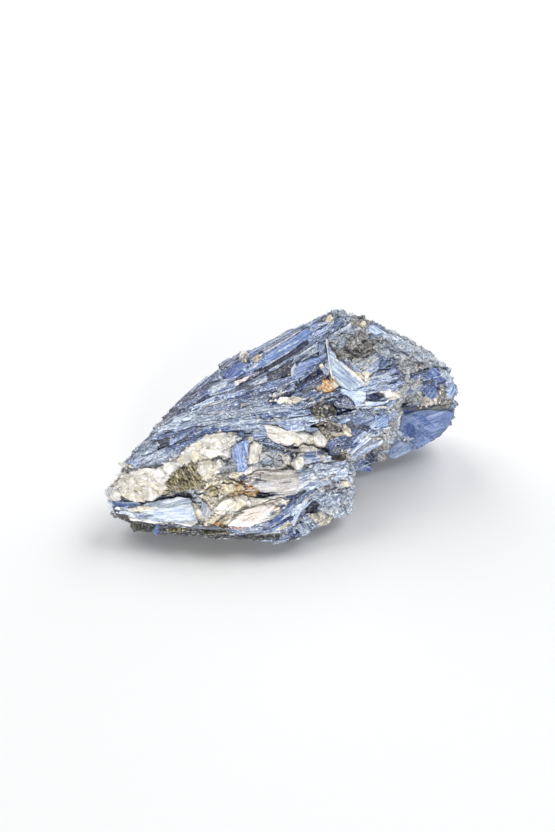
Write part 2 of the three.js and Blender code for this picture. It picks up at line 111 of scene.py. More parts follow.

# Patches that the photograph shows: x, y, the blades' slope in the picture in degrees, growth and mixture.
# Pit patches take the dark mixture, which paints shade in the stone's hollows and slots.
PATCHES = [
    # the rear slab, tip to crest
    (134, 452, 40, "blade", "pale"), (143, 443, 42, "blade", "grey"),
    (136, 462, 25, "blade", "grey"), (150, 455, 18, "blade", "pale"), (165, 455, 14, "blade", "grey"),
    # Painted shade: the dark patches at 158, 443 and 170, 443 fill a dark cavity.
    (176, 450, 16, "blade", "sky"), (190, 444, 22, "blade", "deep"), (158, 443, 6, "blade", "dark"),
    (170, 443, 4, "blade", "dark"), (158, 434, 8, "blade", "sky"), (170, 431, 4, "blade", "deep"),
    (182, 436, 6, "blade", "sky"), (196, 433, 12, "blade", "blue"), (210, 428, 6, "blade", "deep"),
    (160, 426, 20, "blade", "pale"), (176, 420, 15, "blade", "pale"), (192, 418, 12, "blade", "grey"),
    (208, 420, 8, "blade", "pale"), (228, 418, 7, "blade", "pale"), (246, 416, 8, "blade", "pale"),
    (262, 416, 8, "blade", "sky"), (280, 410, 9, "blade", "grey"), (172, 410, 38, "blade", "grey"),
    (184, 404, 36, "blade", "deep"), (196, 400, 32, "blade", "deep"), (202, 408, 22, "blade", "pale"),
    (222, 402, 18, "blade", "grey"), (238, 400, 14, "blade", "blue"), (252, 396, 12, "blade", "grey"),
    (266, 394, 14, "blade", "grey"), (196, 388, 40, "blade", "grey"), (206, 380, 40, "blade", "deep"),
    (214, 388, 32, "blade", "pale"), (228, 386, 28, "blade", "grey"), (240, 384, 26, "blade", "blue"),
    (218, 372, 40, "blade", "grey"), (233, 370, 42, "blade", "deep"), (248, 366, 32, "blade", "sky"),
    # Painted shade: the three dark patches on the next line lie in the dark band under the crest.
    (256, 380, 26, "blade", "dark"), (270, 374, 26, "blade", "dark"), (284, 366, 26, "blade", "dark"),
    (272, 387, 18, "blade", "blue"), (286, 384, 24, "blade", "grey"), (284, 399, 12, "crumb", "cream"),
    (240, 356, 35, "blade", "grey"), (256, 352, 36, "blade", "sky"),
    (272, 352, 32, "blade", "blue"), (290, 342, 30, "blade", "bright"), (304, 334, 28, "blade", "blue"),
    (282, 334, 32, "blade", "grey"), (312, 326, 36, "blade", "sky"),
    # the crown
    (320, 318, 36, "crumb", "stone"), (334, 314, 36, "crumb", "haze"), (336, 324, 36, "blade", "blue"),
    (350, 318, 30, "crumb", "haze"), (362, 322, 30, "crumb", "brown"), (350, 328, 34, "crumb", "haze"),
    (374, 330, 10, "face", "sky"), (322, 336, 30, "blade", "pale"), (308, 346, 32, "blade", "pale"),
    (321, 351, 85, "face", "blue"), (300, 360, 36, "blade", "sky"), (308, 372, 40, "blade", "blue"),
    (302, 380, 36, "blade", "dark"), (316, 374, 60, "blade", "dark"), (296, 388, 30, "blade", "deep"),
    (326, 386, 0, "crumb", "rust"), (310, 392, 25, "blade", "grey"), (338, 372, -45, "blade", "ice_edge"),
    (350, 376, -45, "blade", "pale"), (340, 338, 20, "crumb", "haze"), (352, 344, 30, "crumb", "brown"),
    (363, 342, 0, "crumb", "brown"), (360, 354, 0, "crumb", "brown"), (348, 356, 30, "crumb", "brown"),
    (368, 352, 35, "crumb", "brown"), (366, 362, 35, "blade", "stone_blade"),
    (364, 374, 0, "crumb", "cream"),
    (378, 362, 40, "blade", "sky"), (378, 344, 0, "crumb", "stone"), (390, 340, -30, "crumb", "haze"),
    (386, 352, -20, "crumb", "haze"), (384, 360, 35, "crumb", "sky"), (392, 370, 10, "blade", "deep"),
    (380, 382, 15, "blade", "pale"), (394, 384, 15, "blade", "sky"), (404, 372, 0, "crumb", "stone"),
    (404, 350, -40, "crumb", "haze"), (416, 352, -35, "crumb", "pale_mix"), (428, 358, -35, "crumb", "haze"),
    (412, 364, 0, "crumb", "stone"), (436, 366, -20, "crumb", "haze"), (434, 376, 12, "blade", "deep"),
    (446, 380, 12, "blade", "grey"), (430, 390, 15, "blade", "deep"), (443, 392, 0, "crumb", "brown"),
    (452, 390, -70, "blade", "grey"), (418, 384, 0, "crumb", "stone"), (412, 396, 0, "crumb", "stone"),
    (430, 402, 0, "crumb", "pink"), (446, 402, 0, "crumb", "brown"), (400, 396, 60, "crumb", "stone"),
    # Painted shade: the pit patches on the next three lines darken hollows under the crown's rim.
    (373, 397, -35, "pit", "dark"), (389, 393, 0, "crumb", "quartz"), (364, 392, 10, "blade", "pale"),
    (382, 405, 15, "blade", "sky"), (360, 403, 10, "blade", "ice_edge"), (344, 401, 0, "pit", "dark"),
    (336, 396, 20, "blade", "slate_blue"), (324, 408, 0, "crumb", "brown"), (318, 420, 0, "pit", "dark"),
    (328, 418, 0, "crumb", "grey"), (340, 414, 12, "blade", "slate_blue"), (352, 418, 10, "blade", "grey"),
    (366, 414, 20, "blade", "slate_blue"), (372, 424, -20, "blade", "dark"),
    (376, 410, 20, "crumb", "stone"),
    (386, 420, 20, "blade", "blue"), (392, 410, 30, "crumb", "stone"), (398, 420, 50, "crumb", "stone"),
    (346, 424, 12, "blade", "slate_blue"), (330, 434, 10, "crumb", "tan_mix"),
    (358, 432, 30, "blade", "slate_blue"),
    (342, 442, 20, "blade", "slate_blue"), (332, 450, 20, "blade", "grey"), (360, 442, 35, "blade", "sky"),
    (370, 436, 30, "blade", "ice_edge"), (386, 430, 25, "crumb", "stone"),
    (390, 440, 0, "crumb", "silver_mix"),
    # Painted shade: the pit patch at 372, 456 darkens a hole below the crown.
    (372, 450, 20, "crumb", "brown"), (362, 456, 10, "crumb", "brown"), (372, 456, 0, "pit", "dark"),
    (384, 450, 10, "crumb", "brown"), (362, 466, 20, "blade", "blue"),
    (340, 456, 0, "crumb", "cream"), (396, 452, 15, "blade", "blue"),
    # the smooth cleavage face at the right end, under its ledge
    (408, 414, 20, "face", "deep"), (430, 412, 0, "face", "grey"), (450, 412, -40, "crumb", "grey"),
    (412, 430, 60, "face", "deep"), (424, 424, -25, "face", "blue"), (440, 426, -25, "face", "deep"),
    (452, 424, -60, "face", "sky"), (424, 440, -60, "face", "blue"), (410, 448, 15, "face", "blue"),
    (404, 440, 0, "crumb", "silver_mix"),
    # the quartz vein
    (122, 480, 0, "quartz", "cream"), (132, 474, 0, "quartz", "quartz"),
    (144, 470, 0, "quartz", "quartz"), (130, 488, 0, "quartz", "cream"), (144, 484, 0, "quartz", "cream"),
    (156, 474, 0, "quartz", "quartz"), (168, 466, 0, "quartz", "quartz"), (180, 458, 0, "quartz", "quartz"),
    (192, 450, 0, "quartz", "quartz"), (204, 442, 0, "quartz", "cream"), (218, 438, 0, "quartz", "quartz"),
    (212, 452, 0, "quartz", "quartz"), (200, 462, 0, "crumb", "crust"), (222, 450, 0, "quartz", "quartz"),
    (214, 464, 0, "quartz", "cream"), (226, 440, 0, "quartz", "quartz"), (254, 452, 0, "quartz", "cream"),
    (246, 430, 5, "blade", "pale"), (262, 430, 0, "blade", "grey"), (274, 430, 0, "quartz", "quartz"),
    (288, 434, 0, "quartz", "quartz"), (300, 436, 0, "quartz", "quartz"), (314, 440, 0, "quartz", "quartz"),
    (284, 424, 5, "blade", "pale"), (300, 424, 5, "blade", "sky"), (276, 442, -15, "blade", "grey"),
    # mica, crust and the dark nook above it
    (172, 482, -42, "mica", "olive"), (181, 475, -48, "mica", "olive"), (190, 473, -60, "mica", "olive"),
    (196, 482, -45, "mica", "olive"), (182, 486, -40, "mica", "olive"), (168, 490, 0, "crumb", "tan_mix"),
    (222, 464, 0, "crumb", "gravel"),
    (206, 474, 0, "quartz", "cream"), (222, 476, 0, "crumb", "tan_mix"), (236, 476, -40, "crumb", "crust"),
    (214, 484, 0, "crumb", "crust"), (228, 486, 0, "crumb", "crust"), (208, 492, 0, "crumb", "crust"),
    (222, 498, 0, "crumb", "crust"), (240, 490, 0, "crumb", "rust"), (248, 495, 0, "crumb", "rust"),
    (212, 504, 0, "crumb", "cream"), (226, 508, 0, "crumb", "cream"), (216, 516, 0, "crumb", "crust"),
    (204, 510, 0, "crumb", "cream"), (196, 498, 0, "crumb", "pale_mix"), (220, 524, 10, "crumb", "rust"),
    # the block in the middle
    (244, 478, 0, "crumb", "grey"), (262, 462, 0, "crumb", "gravel"), (276, 460, 0, "crumb", "gravel"),
    # Painted shade: the pit patch at 292, 450 darkens a hole beside the quartz.
    (290, 458, 0, "quartz", "pink"), (300, 462, 0, "quartz", "cream"), (292, 450, 0, "pit", "dark"),
    (306, 452, 0, "blade", "slate_blue"), (266, 476, 5, "layer", "pink"), (284, 476, 5, "layer", "pink"),
    (258, 486, 5, "layer", "pink"), (278, 486, 5, "layer", "pink"), (296, 484, 5, "layer", "cream"),
    # Painted shade: the pit patch at 270, 496 darkens the slot under the layered block.
    (270, 496, 3, "pit", "dark"), (300, 474, 10, "layer", "pale"), (312, 464, 10, "blade", "ice_edge"),
    (322, 470, 10, "crumb", "pale_mix"), (310, 478, 15, "blade", "frost"),
    (318, 484, 15, "crumb", "pale_mix"),
    (334, 466, 0, "blade", "frost"), (344, 470, -30, "blade", "frost"), (346, 482, 0, "crumb", "haze"),
    (330, 482, 0, "crumb", "gravel"), (336, 496, 10, "crumb", "haze"), (322, 496, 10, "crumb", "haze"),
    (348, 496, 0, "crumb", "haze"), (352, 506, 0, "crumb", "haze"), (338, 510, 10, "crumb", "haze"),
    # Painted shade: the dark patch at 308, 508 darkens a hollow of the block.
    (324, 512, 10, "crumb", "haze"), (308, 508, 40, "crumb", "dark"), (314, 522, 30, "crumb", "grey"),
    (300, 520, 40, "crumb", "grey"),
    (302, 534, 30, "blade", "grey"),
    # the front slab
    (110, 498, 0, "crumb", "pale_mix"), (118, 499, 3, "blade", "pale"), (130, 498, -3, "blade", "dark"),
    (150, 494, 10, "crumb", "dark"), (126, 506, -6, "layer", "frost"), (144, 504, -4, "layer", "cream"),
    (160, 500, 8, "blade", "deep"), (136, 512, -6, "blade", "frost"), (152, 512, 0, "blade", "frost"),
    (168, 506, 4, "blade", "frost"), (180, 500, 5, "blade", "frost"), (176, 512, 0, "blade", "frost"),
    (190, 506, 0, "blade", "frost"), (150, 520, -8, "blade", "frost"), (176, 518, -2, "blade", "frost"),
    # The layers patches below lie on the slab's underside: dark brown layers, darkened further as painted
    # shade.
    (124, 516, -40, "crumb", "layers"), (132, 520, -15, "layer", "layers"),
    (146, 526, -8, "layer", "layers"),
    (162, 528, -6, "layer", "layers"), (180, 524, -2, "layer", "dark"), (196, 526, -2, "layer", "layers"),
    (180, 532, -4, "layer", "layers"), (200, 536, -4, "layer", "layers"), (222, 532, 0, "layer", "layers"),
    (246, 534, 2, "layer", "layers"),
    (270, 534, 6, "layer", "layers"), (276, 541, 6, "layer", "grey"), (292, 536, 15, "layer", "layers"),
    (240, 510, 12, "layer", "cream"), (256, 506, 12, "layer", "cream"), (272, 502, 12, "layer", "cream"),
    (284, 500, 12, "layer", "cream"), (246, 520, 6, "layer", "cream"), (262, 516, 10, "layer", "cream"),
    (274, 512, 12, "layer", "cream"), (232, 516, 20, "crumb", "crust"),
    (286, 508, 35, "blade", "deep"), (280, 518, 20, "blade", "blue"), (292, 504, 50, "blade", "sky"),
    (298, 500, 40, "blade", "pale"), (270, 524, 8, "blade", "slate_blue"), (250, 527, 4, "blade", "grey"),
    (290, 526, 30, "layer", "tan_mix"),
]

# Patches that the photograph doesn't show: place, direction of the blades, growth and mixture.
HIDDEN_PATCHES = [
    ((-30, 10, 18), (0.86, 0.45, 0.22), "blade", "blue"), ((-14, 18, 24), (0.86, 0.45, 0.22),
    "blade", "grey"),
    ((-4, 22, 12), (0.9, 0.3, 0.1), "blade", "deep"), ((6, 24, 30), (0.9, 0.2, 0.3), "blade", "sky"),
    ((12, 28, 18), (0.95, 0.1, 0.28), "blade", "blue"), ((24, 28, 36), (0.9, 0, 0.3), "blade", "grey"),
    ((30, 32, 20), (0.8, -0.2, 0.4), "blade", "blue"), ((38, 28, 28), (0.7, -0.4, 0.5), "blade", "pale"),
    ((44, 26, 14), (0.7, -0.4, 0.5), "crumb", "grey"), ((50, 18, 22), (0.3, -0.8, 0.4), "blade", "blue"),
    ((50, 16, 10), (0.3, -0.8, 0.2), "crumb", "stone"), ((-40, 0, 12), (0.86, 0.45, 0.22), "blade", "grey"),
    ((-46, -12, 8), (0.8, 0.5, 0.1), "blade", "pale"), ((-44, -20, 5), (0.9, -0.2, 0), "blade", "grey"),
    ((-20, -4, 4), (0.9, 0.1, 0), "crumb", "stone"), ((-4, 0, 3), (0.9, 0.1, 0), "crumb", "grey"),
    ((-30, -20, 3), (0.9, -0.2, 0), "blade", "grey"), ((-10, -28, 2), (0.9, 0, 0), "crumb", "stone"),
    ((8, -24, 2), (0.9, 0, 0), "crumb", "grey"), ((10, 8, 2), (0.9, 0.2, 0), "crumb", "stone"),
    ((30, 10, 2), (0.9, 0.2, 0), "crumb", "grey"), ((24, 24, 6), (0.9, 0.2, 0), "blade", "deep"),
    ((0, 14, 5), (0.9, 0.2, 0), "blade", "grey"), ((-24, 6, 6), (0.86, 0.45, 0.1), "blade", "deep"),
]

# Single crystals that the photograph shows as bars: x and y of both ends, width in pixels, height above the
# stone in mm, main and second colour.
BARS = [
    # the rear slab
    (292, 361, 318, 345, 4, 0.1, "silver", "pale"), (290, 356, 318, 339, 3, 0.1, "slate", "silver"),
    (190, 405, 208.5, 396, 4, 0.3, "navy", "deep"), (190, 409, 215.5, 398, 4, 0.4, "pale", "silver"),
    (207, 380, 222, 372, 5, 0.3, "deep", "slate"), (210, 390, 228, 381, 6, 0.4, "silver", "pale"),
    # Painted highlight: the pink bar from 234, 384 is the light streak along a dark blade's edge.
    (226, 379.5, 246, 368.5, 2.2, 0.6, "ice", "silver"), (234, 384, 252.5, 374, 2, 0.5, "pink", "silver"),
    (234, 391, 250, 387, 3.5, 0.2, "navy", "deep"), (248, 386, 268, 378, 5, 0.3, "silver", "sky"),
    (266, 390, 277, 385, 5, 0.3, "royal", "deep"), (276, 392, 296, 386, 5, 0.2, "slate", "silver"),
    (240, 405, 248, 403, 3, 0.4, "tan", "stone"), (190, 420, 238, 413.5, 5, 0.4, "mist", "slate"),
    (232, 415.5, 290, 407, 5, 0.4, "silver", "pale"), (196, 424.5, 250, 418.5, 3, 0.3, "silver", "pale"),
    (190, 428.5, 212, 427, 3, 0.2, "navy", "slate"), (206, 410, 240, 402, 5, 0.3, "slate", "sky"),
    (218, 398, 246, 391, 4, 0.3, "sky", "silver"), (244, 411, 276, 404, 4, 0.3, "silver", "sky"),
    (252, 399, 272, 394, 3.5, 0.3, "slate", "sky"), (262, 352, 290, 335, 4, 0.3, "slate", "silver"),
    (276, 348, 306, 331, 3, 0.3, "sky", "pale"), (156, 430.5, 180, 422.5, 5, 0.4, "pale", "silver"),
    (160, 425, 198, 413, 5, 0.3, "silver", "pale"), (172, 430.5, 202, 421.5, 4, 0.4, "pale", "slate"),
    (172, 415, 200, 401.5, 4, 0.3, "deep", "silver"), (178, 408, 200, 396, 3.5, 0.3, "slate", "deep"),
    (160, 438, 198, 429, 4, 0.2, "deep", "royal"), (168, 442, 190, 434.5, 5, 0.3, "royal", "sky"),
    (138, 462, 164, 451, 4, 0.4, "pale", "silver"), (146, 464.5, 178, 453, 4, 0.4, "silver", "pale"),
    (134, 458, 152, 449, 3, 0.4, "sky", "pale"), (180, 447, 206, 437, 4, 0.3, "royal", "sky"),
    (200, 432, 232, 427, 4, 0.2, "deep", "royal"), (214, 425.5, 262, 420, 3, 0.3, "silver", "pale"),
    # the front slab
    (112, 511, 140, 516, 4, 0.2, "ice", "silver"), (262, 490.8, 300, 490, 3, 0.3, "silver", "pink"),
    (272, 530.5, 290, 521, 3, 0.5, "sky", "pale"), (292, 525, 309, 496, 4, 0.3, "pale", "ice"),
    # The dark moss and charcoal bars along the bottom: the brown layers, darkened further as painted shade
    # under the overhang.
    (158, 532, 186, 531.5, 1.2, 0.2, "olive", "moss"), (130, 527, 162, 534, 1.4, 0.3, "moss", "charcoal"),
    (200, 530.5, 262, 532.5, 1.5, 0.2, "moss", "olive"),
    (216, 537.5, 280, 538, 2, 0.3, "charcoal", "moss"),
    # the front right block
    (316, 488, 340, 477, 5, 0.3, "pale", "silver"), (336, 474, 350, 474, 6, 0.3, "pale", "ice"),
    (272, 543, 296, 534.5, 4, 0.3, "slate", "deep"),
    # the crown
    (331, 329.5, 344, 321, 3, 0.3, "deep", "ice"), (340, 331, 352, 323, 3, 0.3, "silver", "ice"),
    (306, 339, 326, 326, 3, 0.3, "sky", "deep"), (316, 333, 334, 321, 3, 0.3, "silver", "sky"),
    (336, 358.5, 363.5, 382, 1.8, 1.4, "white", "ice"),
    (356, 366, 377, 355.5, 3, 0.3, "silver", "stone"), (354, 362, 372, 352, 2, 0.3, "stone", "charcoal"),
    (358, 390.5, 378, 385, 3, 0.4, "sky", "pale"), (370, 383, 392, 377, 3, 0.3, "pale", "sky"),
    (358, 409, 388, 406, 1.6, 0.4, "silver", "sand"), (382, 332, 402, 340, 4, 0.2, "silver", "slate"),
    (424, 380, 447, 374, 2, 0.5, "ice", "pale"),
    (426, 384, 434, 382, 2, 0.3, "navy", "charcoal"), (404, 408.5, 457, 407, 3, 0.2, "charcoal", "stone"),
    (449, 398, 456, 384, 6, 0.3, "sky", "pale"),
    # the right end and below the crown
    (361, 442, 371, 434, 3, 0.6, "white", "ice"), (353, 454.6, 383, 437, 1.6, 0.3, "stone", "silver"),
    # lines over and between the plates
    (262, 367.8, 306, 340.5, 1.6, 0.5, "ice", "silver"), (268, 371.5, 292, 357.5, 1.6, 0.4, "silver", "ice"),
    (264, 352.5, 302, 330.5, 1.8, 0.6, "silver", "ice"), (276, 352.5, 299, 338.5, 1.3, 0.6, "ice", "sky"),
    (296, 357, 318, 342.5, 1.6, 0.5, "ice", "silver"), (300, 361, 320, 350, 1.6, 0.4, "silver", "ice"),
    (156, 437.5, 188, 433, 2.6, 0.3, "royal", "deep"), (180, 434, 214, 427.5, 2.8, 0.3, "deep", "navy"),
    # Painted shade: the charcoal bar from 155, 444.5 fills the same dark cavity.
    (155, 444.5, 184, 442, 3.4, 0.0, "charcoal", "navy"), (166, 446, 180, 449, 2, 0.2, "navy", "deep"),
    (326.2, 338, 331.3, 375, 1.7, 1.3, "white", "ice"),
    (211, 460.5, 220, 456.5, 1.4, 0.5, "charcoal", "stone"),
    (220, 457, 227, 463, 1.4, 0.5, "charcoal", "stone"), (110, 495, 124, 499, 2, 0.4, "charcoal", "slate"),
    (122, 499, 142, 500.5, 2.6, 0.4, "charcoal", "navy"),
    (140, 501.5, 158, 502, 2, 0.3, "charcoal", "stone"), (128, 518, 158, 524, 1.5, 0.5, "white", "ice"),
    (157, 524, 197, 523, 1.5, 0.5, "white", "ice"), (138, 516, 190, 520, 1.2, 0.5, "sky", "pale"),
    (160, 507, 186, 505, 1.2, 0.5, "white", "ice"), (110.5, 512, 115.5, 519, 1.6, 0.3, "charcoal", "stone"),
    (143, 530.5, 152, 532, 2.2, 0.3, "charcoal", "moss"), (240, 513, 282, 499.5, 1.3, 0.8, "shell", "cream"),
    (238, 519, 280, 506.5, 1.2, 0.8, "pink", "yolk"), (234, 524, 268, 517, 1.2, 0.7, "pink", "sand"),
    (214, 525, 232, 514, 1.4, 0.4, "tan", "rust"), (228, 479, 250, 490, 2.4, 0.4, "olive", "moss"),
    (216, 527, 246, 528, 2, 0.4, "moss", "rust"), (284, 498, 310, 494.5, 2.2, 0.4, "slate", "royal"),
    (272, 529, 292, 518, 1.6, 0.5, "deep", "navy"), (274, 524.5, 290, 514.5, 1.4, 0.6, "ice", "sky"),
    (280, 520, 297, 508.5, 1.4, 0.6, "ice", "pale"), (262, 446.5, 284, 452, 1.8, 0.4, "charcoal", "slate"),
    (284, 449.5, 312, 451, 2.6, 0.2, "stone", "charcoal"),
    (264, 484, 292, 482, 1.2, 0.5, "charcoal", "stone"),
    (254, 481.5, 280, 480.5, 1.2, 0.5, "stone", "silver"),
    (427, 382.8, 431.5, 381.5, 2, 0.4, "charcoal", "navy"),
    (388, 362, 400, 359.5, 1.8, 0.3, "navy", "slate"), (408, 416, 419, 431, 4.0, 0.25, "royal", "dusk"),
    (415, 432, 430, 441, 3.6, 0.25, "dusk", "veil"), (422, 425, 438, 434, 3.0, 0.25, "veil", "dusk"),
    (418, 411.5, 430, 412.5, 1.4, 0.35, "sky", "ice"), (374, 429, 392, 427.5, 1.5, 0.4, "ice", "white"),
    (357, 439, 384, 437.5, 1.4, 0.3, "tan", "stone"),
]

